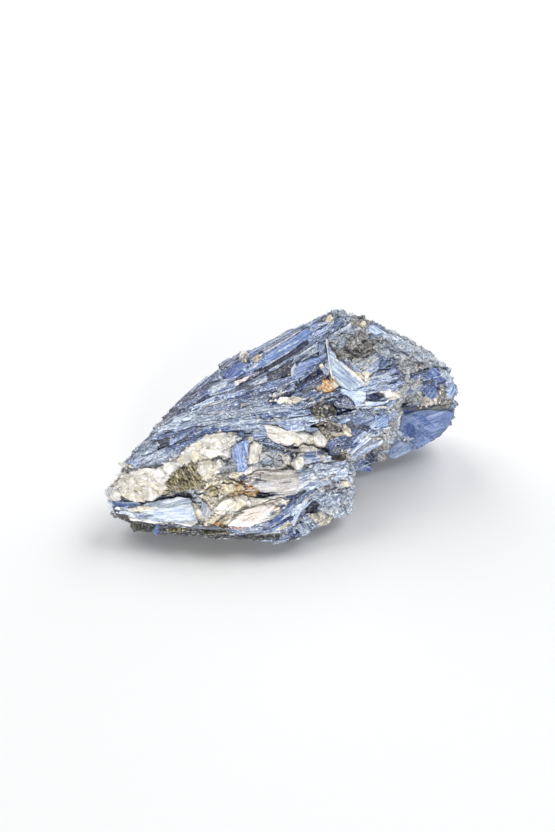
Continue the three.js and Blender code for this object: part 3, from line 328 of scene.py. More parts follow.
# Broken plates and lumps that the photograph shows: corners in pixels, height in mm, main and second colour.
PLATES = [
    # the crest
    ((223, 374, 233, 364, 240, 360.5, 245, 363, 246.5, 367, 243, 372, 236, 377, 229.5, 379), 0.5, "deep",
     "royal"),
    ((239, 357, 239, 352, 242, 350, 247, 350, 249, 353, 246, 357, 242, 359), 0.4, "stone", "fog"),
    ((249, 359.5, 249, 354, 252, 351, 256, 350, 258, 352, 254, 356), 0.3, "royal", "dusk"),
    ((252, 360, 255, 356, 259, 352.5, 262, 352, 263, 354, 258, 359, 254, 361), 0.3, "tan", "yolk"),
    ((258, 362, 268, 353, 280, 345.5, 292, 338.5, 303, 332, 309, 329.5, 310, 331.5, 300, 338, 288, 345,
      276, 352,
      266, 359, 260, 364), 0.55, "royal", "bright"),
    ((260, 365, 268, 359, 278, 352, 290, 345, 302, 338.5, 308, 335, 309, 337, 300, 343.5, 290, 350, 280, 356,
      270, 361.5, 261, 366.5), 0.45, "bright", "sky"),
    # Painted shadow: the near-black plate below is the dark band under the crest's blades.
    ((252, 373, 262, 368.5, 272, 363, 284, 356, 294, 349, 303, 342, 308, 340.5, 309, 343, 302, 349, 292, 356,
      282, 362, 272, 368, 262, 374, 254, 376), 0.35, "painted_shade_black", "navy"),
    ((243, 384, 252, 379, 262, 374, 268, 371, 268, 375, 258, 381, 246, 387), 0.3, "navy", "slate"),
    # under the crest
    ((292, 377, 294, 368, 299, 362.5, 306, 361, 315, 358.5, 320, 358, 318, 362, 312, 364, 306, 368, 301, 373,
      297, 379), 0.5, "veil", "royal"),
    ((290, 381, 291, 368, 295, 362, 297, 366, 294, 377), 0.6, "pale", "fog"),
    ((318, 345, 325, 343, 327, 359, 319, 360), 0.3, "dusk", "deep"),
    ((307, 353, 311, 346, 318, 345, 318, 356, 309, 357.5), 0.3, "mist", "ice"),
    ((297, 384, 301, 376, 306, 371, 311, 369, 314, 373, 309, 381, 303, 385), 0.0, "charcoal", "navy"),
    ((311, 373, 317, 368, 323, 371, 324, 378, 319, 384, 313, 386), 0.0, "navy", "charcoal"),
    ((292, 394, 296, 391, 302, 392, 303, 396, 296, 398), 0.3, "dusk", "slate"),
    ((318, 366, 319, 363, 323, 363, 324, 366, 321, 368), 0.4, "yolk", "ochre"),
    ((320, 385, 323, 380, 328, 379, 333, 383, 333, 388, 328, 391, 322, 390), 0.5, "ochre", "rust"),
    ((331, 379, 336, 380, 338, 385, 334, 388, 331, 384), 0.4, "sand", "ochre"),
    ((277, 402, 279, 397, 286, 395.5, 291, 397, 287, 401, 280, 403.5), 0.4, "cream", "white"),
    ((270, 396, 275, 391, 283, 392, 282, 396, 274, 399), 0.3, "fog", "sand"),
    ((289, 388, 292, 385, 295, 388, 292, 391), 0.4, "yolk", "ochre"),
    ((235, 399, 240, 394.5, 250, 393.5, 249, 398, 240, 401), 0.2, "deep", "navy"),
    ((261, 398, 265, 391.5, 271, 392, 270, 398.5), 0.2, "slate", "deep"),
    # the thin plate on edge
    ((328, 345, 331, 350, 335, 353, 336, 358.5, 342, 361, 350, 369, 357, 376.5, 363, 382.5, 356, 386, 351,
      389.5,
      345, 386, 338, 381, 334, 376, 331, 366, 329, 355), 1.1, "pale", "mist"),
    # the crown's hollow and the ledges beside it
    ((355, 372, 360, 371.5, 364, 376, 364, 379, 360, 378, 357, 375.5), 0.4, "yolk", "ochre"),
    ((362, 371, 368, 369, 371, 373, 369, 378, 364, 377), 0.4, "cream", "pink"),
    # Painted shade: the near-black spot at the bottom of the crown's hollow.
    ((361, 342, 363, 339.5, 367, 339.5, 367, 342, 364, 344.5, 362, 344), -0.1, "painted_shade_black", "charcoal"),
    # The navy plates on the next lines are partly the kyanite's own dark blue and partly painted shade in
    # the pits under the rim.
    ((366, 392, 370, 391, 378, 396, 381, 398.5, 378, 401, 370, 400.5, 367, 397), 0.1, "navy", "deep"),
    ((333, 405, 335, 399, 339, 395, 344, 394, 349, 397, 353, 402, 356, 408, 354, 410, 344, 408.5, 337, 408),
     0.3, "navy", "deep"),
    ((340, 388.5, 350, 391, 362, 390, 366, 393, 366, 399, 359, 407, 356, 407, 353, 401, 348, 396, 341,
      391.5),
     0.5, "pale", "mist"),
    ((366, 402, 373, 402, 384, 402, 390, 399, 388, 403, 378, 406, 366, 406), 0.4, "pale", "ice"),
    ((387, 370.5, 391, 368, 396, 368, 397, 373, 392, 375, 388, 374.5), 0.5, "dusk", "royal"),
    ((378, 366, 380, 361, 386, 360, 390, 362, 386, 367, 380, 368), 0.2, "slate", "deep"),
    ((386, 397, 387, 391, 390, 388, 391.5, 391, 393, 394, 391, 398), 0.7, "white", "milk"),
    ((369, 326, 374, 324.5, 382, 330, 386, 333.5, 378, 333.5, 370, 331), 0.3, "pale", "sky"),
    ((328, 329, 333, 324, 340, 321, 341, 324, 336, 329, 330, 331), 0.3, "dusk", "slate"),
    ((325, 322, 327, 315, 331, 313, 333, 317, 330, 322), 0.3, "sand", "tan"),
    ((359, 324, 362, 320, 366, 321, 367, 325, 362, 326), 0.3, "sand", "tan"),
    # right of the crown
    ((423, 377, 428, 372, 433, 367, 438, 368, 446, 374, 450, 380, 444, 382, 436, 380, 428, 379.5), 0.3,
     "dusk", "royal"),
    ((423, 392, 427, 385.5, 431, 384.5, 437, 388, 438, 395, 433, 400, 427, 397), 0.3, "deep", "dusk"),
    ((439, 392, 443, 388.5, 447, 392, 446, 397.5, 441, 398), 0.2, "stone", "charcoal"),
    ((418, 366, 421, 363, 424, 365, 422, 368), 0.3, "moss", "stone"),
    ((441, 372, 446, 370, 452, 376, 455, 384, 451, 383, 446, 378), 0.3, "mist", "silver"),
    # the smooth face at the right end
    ((403, 422, 407, 416, 418, 412, 436, 410, 454, 410.5, 452, 417, 447, 427, 441, 435, 434, 439, 428, 443,
      420, 446.5, 414, 447.5, 409, 444, 403, 437), 0.15, "dusk", "slate"),
    ((404, 425, 408, 421, 414, 426, 417, 434, 411, 439, 404.5, 435), 0.3, "deep", "deep"),
    ((412, 414.5, 420, 415, 432, 421, 443, 428, 441, 432, 430, 425.5, 418, 419.5), 0.3, "royal", "dusk"),
    ((436, 411, 453, 411, 450, 418, 443, 419, 437, 416), 0.3, "slate", "mist"),
    ((445, 420, 451, 417.5, 448, 425, 444, 429), 0.3, "mist", "silver"),
    ((390, 458, 393, 448, 402, 443.5, 412, 444, 415, 449, 404, 454.5, 396, 458.5), 0.2, "dusk", "mist"),
    ((355, 463, 362, 463, 372, 465.5, 369, 470.5, 360, 472), 0.2, "dusk", "royal"),
    # below the crown
    ((353, 421, 360, 416, 371, 414.5, 376, 419, 374, 427, 363, 428.5, 355, 425), 0.15, "slate", "dusk"),
    ((346, 425, 352, 420.5, 360, 424, 370, 427, 372, 429.5, 360, 430, 350, 429), 0.1, "navy", "charcoal"),
    ((375, 421, 377, 415, 382, 416, 388, 418, 389, 426, 381, 428, 377, 426), 0.3, "sky", "dusk"),
    ((343, 431, 344, 425.5, 348, 424, 351, 428, 353, 436.5, 348, 438, 344, 435), 0.5, "sand", "fog"),
    ((311, 410, 319, 405, 330, 406, 337, 411, 337, 418, 330, 423, 319, 423, 312, 418), 0.0, "moss", "stone"),
    ((324, 424, 333, 421, 343, 424, 342, 429, 332, 430, 325, 429), 0.1, "stone", "moss"),
    ((330, 431.5, 343, 431, 344, 436.5, 331, 436), 0.3, "tan", "stone"),
    ((371, 431.5, 376, 430.5, 379, 432.5, 376, 435, 372, 434), 0.1, "charcoal", "slate"),
    ((350, 453, 356, 446.5, 364, 441, 370, 436, 372.5, 438, 366, 444, 358, 449.5, 352, 454.5), 0.5, "pale",
     "ice"),
    # Painted shade: the near-black plate darkens a hole below the crown.
    ((365, 455, 367, 451, 373, 450.5, 378, 455, 375, 459, 369, 458), 0.0, "painted_shade_black", "slate"),
    ((396, 425, 398, 416, 403, 411.5, 405, 414, 401, 421, 398, 427), 0.3, "fog", "silver"),
    # the quartz, tip to blade: broad masses first
    ((106, 488, 116, 477, 130, 472, 140, 478, 140, 498, 118, 497), 0.05, "fog", "sand"),
    ((128, 472, 146, 467, 162, 470, 162, 490, 140, 499, 132, 488), 0.05, "milk", "sand"),
    ((158, 468, 176, 459, 186, 460, 180, 468, 168, 474, 160, 486), 0.05, "white", "milk"),
    ((178, 462, 186, 448, 200, 438, 210, 448, 206, 460, 192, 468), 0.05, "milk", "yolk"),
    ((198, 440, 206, 433, 226, 432, 232, 444, 224, 458, 206, 458), 0.05, "milk", "fog"),
    ((196, 462, 212, 458, 226, 456, 222, 470, 206, 478, 196, 472), 0.05, "fog", "sand"),
    ((104, 489, 109, 486, 114, 488, 114, 496, 107, 498, 104, 494), 0.4, "fog", "silver"),
    ((113, 483, 121, 478, 129, 479, 129, 488, 121, 494, 114, 491), 0.4, "milk", "sand"),
    ((128, 486, 137, 484, 141, 491, 140, 499, 132, 496, 127, 491), 0.5, "milk", "cream"),
    ((141, 487, 149, 485, 157, 490, 159, 496, 152, 501, 143, 499), 0.6, "fog", "milk"),
    ((131, 472, 143, 468, 151, 471, 149, 480, 140, 484, 131, 480), 0.4, "milk", "fog"),
    ((150, 472, 158, 467, 166, 469, 169, 476, 162, 483, 154, 481), 0.5, "white", "milk"),
    ((155, 485, 163, 482, 167, 487, 162, 491, 157, 490), 0.5, "white", "cream"),
    ((163, 463, 172, 461, 179, 464, 177, 470, 168, 474, 162, 470), 0.5, "white", "milk"),
    ((180, 453, 188, 447, 197, 447, 199, 454, 190, 461, 182, 460), 0.5, "white", "pink"),
    ((197, 440, 203, 434.5, 210, 436, 212, 445, 205, 450, 198, 448), 0.5, "fog", "sand"),
    ((201, 450, 212, 447, 221, 448, 225, 453, 216, 457, 205, 459), 0.5, "white", "cream"),
    ((214, 437, 223, 433, 230, 437, 228, 446, 218, 447), 0.4, "milk", "white"),
    ((190, 460, 196, 457, 202, 459, 200, 463.5, 193, 464.5), 0.4, "yolk", "cream"),
    ((197, 467, 204, 462, 211, 464, 213, 470, 206, 476, 199, 473), 0.5, "fog", "milk"),
    ((119, 463, 125, 461, 128, 464, 126, 469, 121, 467), 0.5, "fog", "stone"),
    ((126, 465, 130, 466.5, 131, 472, 126, 472.5, 123, 469), 0.5, "stone", "charcoal"),
    ((115, 474, 121, 471.5, 126, 474, 126, 478, 121, 480, 118, 477), 0.4, "fog", "stone"),
    ((212, 461, 217, 459, 221, 457.5, 226, 463, 221, 468, 214, 466), 0.4, "fog", "silver"),
    # the crust
    ((213, 501, 222, 495, 232, 496, 240, 503, 232, 509, 222, 514, 214, 511), 0.3, "cream", "white"),
    ((190, 501, 197, 503, 202, 512, 199, 519, 194, 513), 0.4, "sand", "cream"),
    ((202, 501, 208, 504, 212, 512, 206, 518.5, 201, 511), 0.4, "mist", "fog"),
    ((206, 490, 214, 486, 220, 490, 216, 497, 208, 498), 0.3, "sand", "olive"),
    ((222, 484, 232, 483, 238, 488, 232, 494, 224, 492), 0.3, "cream", "yolk"),
    ((226, 500, 236, 494, 246, 494, 252, 499, 246, 506, 236, 512, 228, 510), 0.6, "cream", "white"),
    ((246, 497, 258, 497.5, 270, 497.5, 262, 503, 250, 508, 244, 505), 0.6, "milk", "cream"),
    # the blade and the grains beside it
    ((232, 448, 236, 444, 241, 441.5, 249, 440, 248, 450, 247, 462, 248, 468, 243.5, 472, 238, 472.5,
      235.5, 463),
     1.0, "veil", "dusk"),
    ((243.5, 443, 248.5, 441, 247.5, 450, 246.5, 462, 246.5, 467, 244.5, 469, 244, 455), 1.15, "dusk",
     "veil"),
    ((249, 447, 254, 441, 258, 442, 262, 447, 261, 455, 258, 462, 250, 463.5, 248.5, 456), 0.7, "milk",
     "fog"),
    ((243, 473, 247, 467, 253, 465.5, 253, 472, 247, 476), 0.5, "white", "milk"),
    ((252, 431.5, 260, 430, 266, 428.5, 268, 432, 267, 438, 257, 438, 251, 436), 0.4, "dusk", "slate"),
    ((237.5, 434, 241, 430, 244, 433, 242, 437.5), 0.4, "slate", "veil"),
    ((265, 425, 275, 426, 287, 429, 300, 431, 312, 434, 322, 434, 327, 440, 326, 447, 314, 447.5, 300, 447,
      286, 446, 276, 444, 269, 437), 0.2, "milk", "fog"),
    ((298, 434, 306, 432.5, 311, 436, 309, 443, 301, 444), 0.6, "fog", "milk"),
    ((311, 435, 320, 434, 326, 439, 325, 446, 315, 446), 0.7, "white", "milk"),
    ((273, 429, 284, 430, 288, 438, 280, 442), 0.6, "white", "pink"),
    ((300, 446, 311, 446, 322, 449, 327, 453, 320, 455, 308, 452, 300, 450), 0.3, "fog", "stone"),
    ((299, 429, 306, 426, 318, 428, 320, 431, 306, 433), 0.5, "mist", "sky"),
    ((321, 456, 324, 453, 327, 456, 325, 459, 322, 459), 0.3, "fog", "stone"),
    # Painted shade: the near-black plate darkens a hole beside the quartz.
    ((290, 452, 295, 450.5, 300, 452, 297, 456, 293, 458, 290, 455), 0.1, "painted_shade_black", "charcoal"),
    ((302, 455, 308, 450, 316, 452, 316, 457, 307, 458.5), 0.4, "slate", "dusk"),
    ((282, 456, 287, 452, 292, 457, 290, 465, 284, 463), 0.3, "fog", "stone"),
    ((291, 462, 297, 456.5, 304, 455, 305, 462, 302, 468, 295, 469.5), 0.5, "milk", "fog"),
    ((262, 459, 268, 456, 273, 459, 270, 464, 264, 464), 0.4, "silver", "charcoal"),
    # the layered block and the gap under it
    ((247, 476, 256, 471, 272, 470, 296, 469.5, 300, 478, 283, 484, 256, 485, 249, 482), 0.4, "shell",
     "stone"),
    ((250, 485, 262, 480.5, 280, 480, 300, 476.5, 305, 484, 285, 491, 262, 492), 0.3, "shell", "silver"),
    ((256, 489.5, 276, 486, 302, 482, 312, 485.5, 302, 492, 280, 494, 263, 493.5), 0.4, "shell", "silver"),
    # Painted shadow: the near-black plate fills the slot under the layered block.
    ((256, 494.5, 262, 493.6, 274, 494.2, 284, 495, 274, 496, 263, 496.6, 257, 496.2), 0.3, "painted_shade_black",
     "charcoal"),
    # the front slab
    ((229, 521, 240, 513, 252, 507, 266, 502, 280, 497.5, 286, 500, 287, 505, 278, 512, 268, 519, 254, 525.3,
      240, 526.3, 228, 525), 0.6, "pink", "white"),
    ((128, 508, 150, 502.5, 165, 499, 180, 496.5, 190, 498, 195, 512, 199, 523, 180, 523.5, 160, 521, 140,
      519,
      126, 515, 115, 510.5), 0.3, "silver", "ice"),
    ((146, 512, 160, 508, 182, 506, 192, 512, 195, 520, 178, 521, 158, 518), 0.45, "ice", "pale"),
    ((112, 501, 122, 501, 138, 502, 142, 504, 130, 506.5, 112, 507.5), 0.3, "dusk", "mist"),
    ((126, 508.5, 142, 504.5, 156, 507, 158, 509.5, 140, 512, 128, 511.5), 0.4, "cream", "milk"),
    ((157, 502, 162, 496.5, 170, 494.5, 184, 494, 180, 498, 170, 501, 160, 505), 0.3, "navy", "charcoal"),
    ((108, 500, 112, 508, 113, 511, 108.5, 509), 0.3, "ice", "silver"),
    ((153, 530.5, 158, 529.5, 158.5, 535, 153.5, 536), 0.4, "royal", "slate"),
    ((268, 524, 278, 516, 288, 511.5, 296, 505, 298, 509, 288, 517, 276, 525, 270, 527), 0.4, "royal",
     "deep"),
    ((290, 514, 296, 503.5, 303, 502.5, 299, 512, 291, 520), 0.5, "pale", "ice"),
    ((276, 529, 288, 521, 291, 523, 284, 529, 276, 532), 0.3, "tan", "sand"),
    # the front right block
    ((312, 470, 317, 462, 330, 463.5, 346, 461, 351, 463, 349, 470, 338, 472, 326, 474, 315, 478), 0.5,
     "mist", "ice"),
    ((296, 476, 313, 470.5, 319, 478, 321, 484, 313, 490, 299, 489), 0.4, "mist", "milk"),
    ((350, 462.5, 353.5, 464, 357, 475, 352, 478), 0.4, "ice", "white"),
    ((316, 495, 330, 490.5, 344, 494, 340, 503, 328, 507, 317, 502), 0.3, "mist", "slate"),
    # Painted shade: the near-black plate darkens a hollow of the front right block.
    ((303, 506, 307, 501.5, 313, 503, 315, 509, 309, 513.5, 303, 512), 0.0, "painted_shade_black", "slate"),
    ((303, 516, 310, 513.5, 315, 519, 311, 524, 304, 522), 0.4, "silver", "pink"),
    ((315, 521, 326, 516.5, 334, 517.5, 330, 525, 319, 527.5), 0.4, "stone", "sand"),
    ((291, 531, 298, 531, 303, 536, 297, 539.5, 290, 538), 0.3, "deep", "navy"),
    ((302, 531, 310, 528.5, 313, 532, 306, 537, 300, 536), 0.3, "mist", "slate"),
    ((344, 481, 348, 480.5, 350, 486, 345, 487), 0.4, "pink", "yolk"),
    ((336, 514, 345, 512, 349, 515, 343, 519, 336, 518), 0.3, "mist", "silver"),
]

# Mixtures whose crumbs are crust.
LIGHT_CRUMBS = ("crust", "cream", "rust", "quartz", "pink", "pale_mix", "silver_mix")
# How far a colour is lifted, and the most that any of its parts then has.
BRIGHTER, BRIGHTEST = 1.03, 0.92
# The most a screen value can be, and the usual curve to light: its knee, slope, offset and power.
SCREEN_MOST = 255.0
KNEE, SLOPE, OFFSET, POWER = 0.04045, 12.92, 0.055, 2.4
TINY = 1e-9


def white_light(red, green, blue):
    """A colour's screen values as the linear values of a shader, lifted for the stone's own shade."""
    parts = np.array((red, green, blue)) / SCREEN_MOST
    linear = np.where(parts <= KNEE, parts / SLOPE, ((parts + OFFSET) / (1.0 + OFFSET)) ** POWER)
    return linear * min(BRIGHTER, BRIGHTEST / linear.max())


def unit(rows):
    """Each row divided by its length."""
    return rows / np.maximum(np.linalg.norm(rows, axis=-1, keepdims=True), TINY)


def sight_through(x, y):
    """The direction of the line of sight through a pixel of the photograph."""
    return SIGHT + RIGHT * (x - PHOTO_WIDE / 2) / FOCAL_PIXELS - UP * (y - PHOTO_HIGH / 2) / FOCAL_PIXELS


# The body of the stone

MERGE_METRES = 1e-6


def stone_copy(square, rounds):
    """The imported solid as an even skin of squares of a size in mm, rounded by some smoothing rounds."""
    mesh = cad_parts[NODE].data.copy()
    build = bmesh.new()
    build.from_mesh(mesh)
    bmesh.ops.remove_doubles(build, verts=build.verts, dist=MERGE_METRES)
    build.to_mesh(mesh)
    build.free()
    rough = bpy.data.objects.new("rough_stone", mesh)
    bpy.context.scene.collection.objects.link(rough)
    skin = rough.modifiers.new("skin", "REMESH")
    skin.mode = "VOXEL"
    skin.voxel_size = square * MM
    smooth = rough.modifiers.new("smooth", "SMOOTH")
    smooth.iterations = rounds
    graph = bpy.context.evaluated_depsgraph_get()
    result = bpy.data.meshes.new_from_object(rough.evaluated_get(graph))
    bpy.data.objects.remove(rough)
    return result


def arrays_of(mesh):
    """Vertices in millimetres, their normals, and the corners of each triangle."""
    count = len(mesh.vertices)
    points = np.empty(count * 3)
    normals = np.empty(count * 3)
    mesh.vertices.foreach_get("co", points)
    mesh.vertex_normals.foreach_get("vector", normals)
    mesh.calc_loop_triangles()
    triangles = np.empty(len(mesh.loop_triangles) * 3, dtype=np.int64)
    mesh.loop_triangles.foreach_get("vertices", triangles)
    return points.reshape(-1, 3) / MM, normals.reshape(-1, 3), triangles.reshape(-1, 3)


# Crystals are placed on the core, the skin is what shows of the stone, and the soft form tells which way the
# stone faces.
CORE_SQUARE, SKIN_SQUARE, SOFT_SQUARE = 0.42, 0.53, 1.2
FEW_ROUNDS, MANY_ROUNDS = 2, 12

core_points, _, core_triangles = arrays_of(stone_copy(CORE_SQUARE, FEW_ROUNDS))
soft_points, soft_normals, soft_triangles = arrays_of(stone_copy(SOFT_SQUARE, MANY_ROUNDS))
core_tree = BVHTree.FromPolygons(core_points.tolist(), core_triangles.tolist())
soft_tree = BVHTree.FromPolygons(soft_points.tolist(), soft_triangles.tolist())


def on_stone(x, y):
    """Where the line of sight through a pixel meets the stone, or None where it misses."""
    place, _, _, _ = core_tree.ray_cast(Vector(EYE), Vector(sight_through(x, y)).normalized())
    return None if place is None else np.array(place)


def onto_stone(places):
    """The nearest place on the stone to each place."""
    return np.array([core_tree.find_nearest(Vector(place))[0] for place in places])


def broad_normals(places):
    """The stone's outward direction at each place, read from its rounded form."""
    found = [soft_tree.find_nearest(Vector(place)) for place in places]
    corners = soft_triangles[[hit[2] for hit in found]]
    return unit(soft_normals[corners].mean(axis=1))


def patch_table():
    """Every patch as arrays: place, normal, the blades' direction and their plane, growth and mixture."""
    rows = []
    for x, y, slope, growth, mixture in PATCHES:
        place = on_stone(x, y)
        if growth == "crumb" and mixture in LIGHT_CRUMBS:
            growth = "crust"
        turn = math.radians(slope)
        along = RIGHT * math.cos(turn) + UP * math.sin(turn)
        rows.append((place, along, np.cross(along, sight_through(x, y)), growth, mixture))
    for place, along, growth, mixture in HIDDEN_PATCHES:
        nearest = onto_stone([place])[0]
        along = np.array(along)
        normal = broad_normals([nearest])[0]
        rows.append((nearest, along, np.cross(along, normal), growth, mixture))
    places = np.array([row[0] for row in rows])
    return {
        "place": places,
        "normal": broad_normals(places),
        "along": unit(np.array([row[1] for row in rows])),
        "plane": unit(np.array([row[2] for row in rows])),
        "growth": np.array([row[3] for row in rows]),
        "mixture": np.array([row[4] for row in rows]),
    }


patches = patch_table()


# How many places are compared at once, and the square millimetres that facing the other way counts for.
BATCH = 20000
FACING_WEIGHT = 40.0


def nearest_patch(places, normals, stray):
    """The index of each place's patch: the least squared distance, plus a share for facing another way."""
    chosen = np.empty(len(places), dtype=np.int64)
    moved = places + stray
    for start in range(0, len(places), BATCH):
        part = slice(start, start + BATCH)
        gaps = ((moved[part, None, :] - patches["place"][None]) ** 2).sum(axis=2)
        gaps += FACING_WEIGHT * (1.0 - normals[part] @ patches["normal"].T)
        chosen[part] = gaps.argmin(axis=1)
    return chosen


def directions(chosen, normals):
    """The way that blades run on the surface: in the patch's plane and along the surface at once."""
    along = np.cross(patches["plane"][chosen], normals)
    against = (along * patches["along"][chosen]).sum(axis=1) < 0
    along[against] *= -1
    return unit(along)


# Whole numbers that spread the bits of a cell's own numbers: factors of x, y, z and the seed, then rounds of
# a shift and a factor, a last shift, and how many bits stay.
CELL_FACTORS = (73856093, 19349663, 83492791)
SEED_FACTOR = 7919
SPREAD_ROUNDS = ((30, 0xBF58476D1CE4E5B9), (27, 0x94D049BB133111EB))
LAST_SHIFT = 31
WHOLE_BITS, KEPT_BITS = 64, 53


def hashed(cells, seed):
    """Three even random numbers from 0 to 1 for each cell of a grid, by mixing its whole numbers."""
    keys = cells.astype(np.int64).astype(np.uint64)
    x, y, z = (keys[:, i] * np.uint64(factor) for i, factor in enumerate(CELL_FACTORS))
    mixed = (x ^ y ^ z) + np.uint64(seed * SEED_FACTOR)
    out = []
    for _ in range(3):
        for shift, factor in SPREAD_ROUNDS:
            mixed = (mixed ^ (mixed >> np.uint64(shift))) * np.uint64(factor)
        mixed = mixed ^ (mixed >> np.uint64(LAST_SHIFT))
        kept = mixed >> np.uint64(WHOLE_BITS - KEPT_BITS)
        out.append(kept.astype(np.float64) / float(1 << KEPT_BITS))
    return np.stack(out, axis=1)


def crystal_cells(points, seed):
    """Splits space into uneven cells: the nearest of one random centre per unit cube owns a point.

    Gives the point's offset from its centre, and three random numbers of the cell.
    """
    base = np.floor(points).astype(np.int64)
    best = np.full(len(points), np.inf)
    offset = np.zeros_like(points)
    owner = np.zeros_like(base)
    for step in np.ndindex(3, 3, 3):
        cell = base + np.array(step) - 1
        away = points - (cell + hashed(cell, seed))
        far = (away ** 2).sum(axis=1)
        nearer = far < best
        best[nearer] = far[nearer]
        offset[nearer] = away[nearer]
        owner[nearer] = cell[nearer]
    return offset, hashed(owner, seed + 1)


def raised_by(offset, numbers, height, tilt):
    """How far a cell is raised: its own height, and its own flat, tilted top."""
    return height * (numbers[:, 0] * 2.0 - 1.0) + tilt * (offset * (numbers * 2.0 - 1.0)).sum(axis=1)


# Relief of each growth: cell sizes along, across and out in mm, height, tilt, and how much its streaks are
# shortened.
GROWTH_RELIEF = {
    "blade": ((11.0, 1.9, 1.9), 0.42, 0.45, 1.0), "layer": ((9.0, 1.2, 1.2), 0.35, 0.3, 1.0),
    "crumb": ((1.9, 1.7, 1.7), 0.4, 0.9, 6.0), "crust": ((1.7, 1.5, 1.5), 0.3, 0.7, 6.0),
    "quartz": ((3.8, 3.4, 3.4), 0.5, 1.4, 1.3),
    "mica": ((2.4, 0.5, 2.4), 0.5, 0.3, 3.0), "pit": ((2.2, 2.2, 2.2), 0.3, 0.5, 6.0),
    "face": ((12.0, 5.0, 5.0), 0.12, 0.15, 1.0),
}
# How much of its difference from the mixture's middle a picked colour keeps, and how plainly a growth shows
# its own tint.
CALM = 0.7
PLAIN = {"quartz": 0.75, "crust": 0.7, "face": 0.5}


def mixed_tints(mixtures, picks):
    """A colour for each place: its mixture's colours laid end to end by their shares, picked by a number."""
    colours = np.empty((len(mixtures), 3))
    for name in np.unique(mixtures):
        mix = MIXES[name]
        shares = np.array(list(mix.values()), dtype=float)
        shares /= shares.sum()
        table = np.array([white_light(*TINTS[tint]) for tint in mix])
        middle = shares @ table
        here = mixtures == name
        pick = np.searchsorted(np.cumsum(shares), picks[here], side="right").clip(0, len(mix) - 1)
        colours[here] = middle + (table[pick] - middle) * CALM
    return colours


# Patches meet in cells of a size in mm, whose places stray by as much. Fine cells cover all of the skin,
# which is sunk a little so that crystals stand out of it.
BORDER_CELL, BORDER_STRAY, BORDER_SEED = 3.0, 3.0, 90
FINE_CELL, FINE_HEIGHT, FINE_TILT, FINE_SEED = 0.9, 0.1, 0.25, 31
RELIEF_SEED = 7
SUNK = 0.35
LIE_STEP = 3.7


def body_of_stone(points, normals):
    """The stone's skin, raised cell by cell into the kind of relief that grows on each patch."""
    points = points.copy()
    _, numbers = crystal_cells(points / BORDER_CELL, BORDER_SEED)
    chosen = nearest_patch(points, normals, (numbers - 0.5) * BORDER_STRAY)
    picks = np.empty((len(points), 2))
    raised = np.zeros(len(points))
    lie = np.empty((len(points), 3))
    for index in np.unique(chosen):
        sizes, height, tilt, even = GROWTH_RELIEF[patches["growth"][index]]
        mine = chosen == index
        along = patches["along"][index]
        across = unit(np.cross(patches["normal"][index], along))
        turned = points[mine] @ np.stack((along, across, np.cross(along, across)), axis=1)
        offset, numbers = crystal_cells(turned / np.array(sizes), RELIEF_SEED + index)
        raised[mine] = raised_by(offset, numbers, height, tilt)
        picks[mine] = numbers[:, 1:]
        lie[mine] = turned * (even, 1.0, 0.0 if even == 1.0 else 1.0) + (0, 0, index * LIE_STEP)
    offset, numbers = crystal_cells(points / FINE_CELL, FINE_SEED)
    fine = raised_by(offset, numbers, FINE_HEIGHT, FINE_TILT)
    points += normals * (raised + fine - SUNK)[:, None]
    mixtures = patches["mixture"][chosen]
    plain = np.array([PLAIN.get(growth, 0.0) for growth in patches["growth"]])[chosen]
    return points, {"tint": mixed_tints(mixtures, picks[:, 0]), "second": mixed_tints(mixtures, picks[:, 1]),
                    "lie": lie, "rim": np.zeros(len(points)), "plain": plain}


ABOVE_FLOOR = (-np.inf, -np.inf, 0.0)


def put_mesh(name, points, faces, attributes, material):
    """One piece from its points in millimetres, its faces, and named values at its points.

    Points that would lie below the floor are lifted onto it.
    """
    mesh = bpy.data.meshes.new(name)
    points = np.maximum(points, ABOVE_FLOOR)
    mesh.from_pydata((points * MM).tolist(), [], faces)
    for label, values in attributes.items():
        if label in ("tint", "second"):
            store = mesh.attributes.new(label, "FLOAT_COLOR", "POINT")
            values = np.concatenate((values, np.ones((len(values), 1))), axis=1)
            store.data.foreach_set("color", values.astype(np.float32).ravel())
        elif label == "lie":
            store = mesh.attributes.new(label, "FLOAT_VECTOR", "POINT")
            store.data.foreach_set("vector", values.astype(np.float32).ravel())
        else:
            store = mesh.attributes.new(label, "FLOAT", "POINT")
            store.data.foreach_set("value", values.astype(np.float32))
    mesh.validate()
    mesh.materials.append(material)
    piece = bpy.data.objects.new(name, mesh)
    bpy.context.scene.collection.objects.link(piece)
    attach(piece, BODY)
    return piece


# Finishes

# Where a Mix node has its two colours and its result.
FIRST_COLOUR, SECOND_COLOUR, MIXED_COLOUR = 6, 7, 2


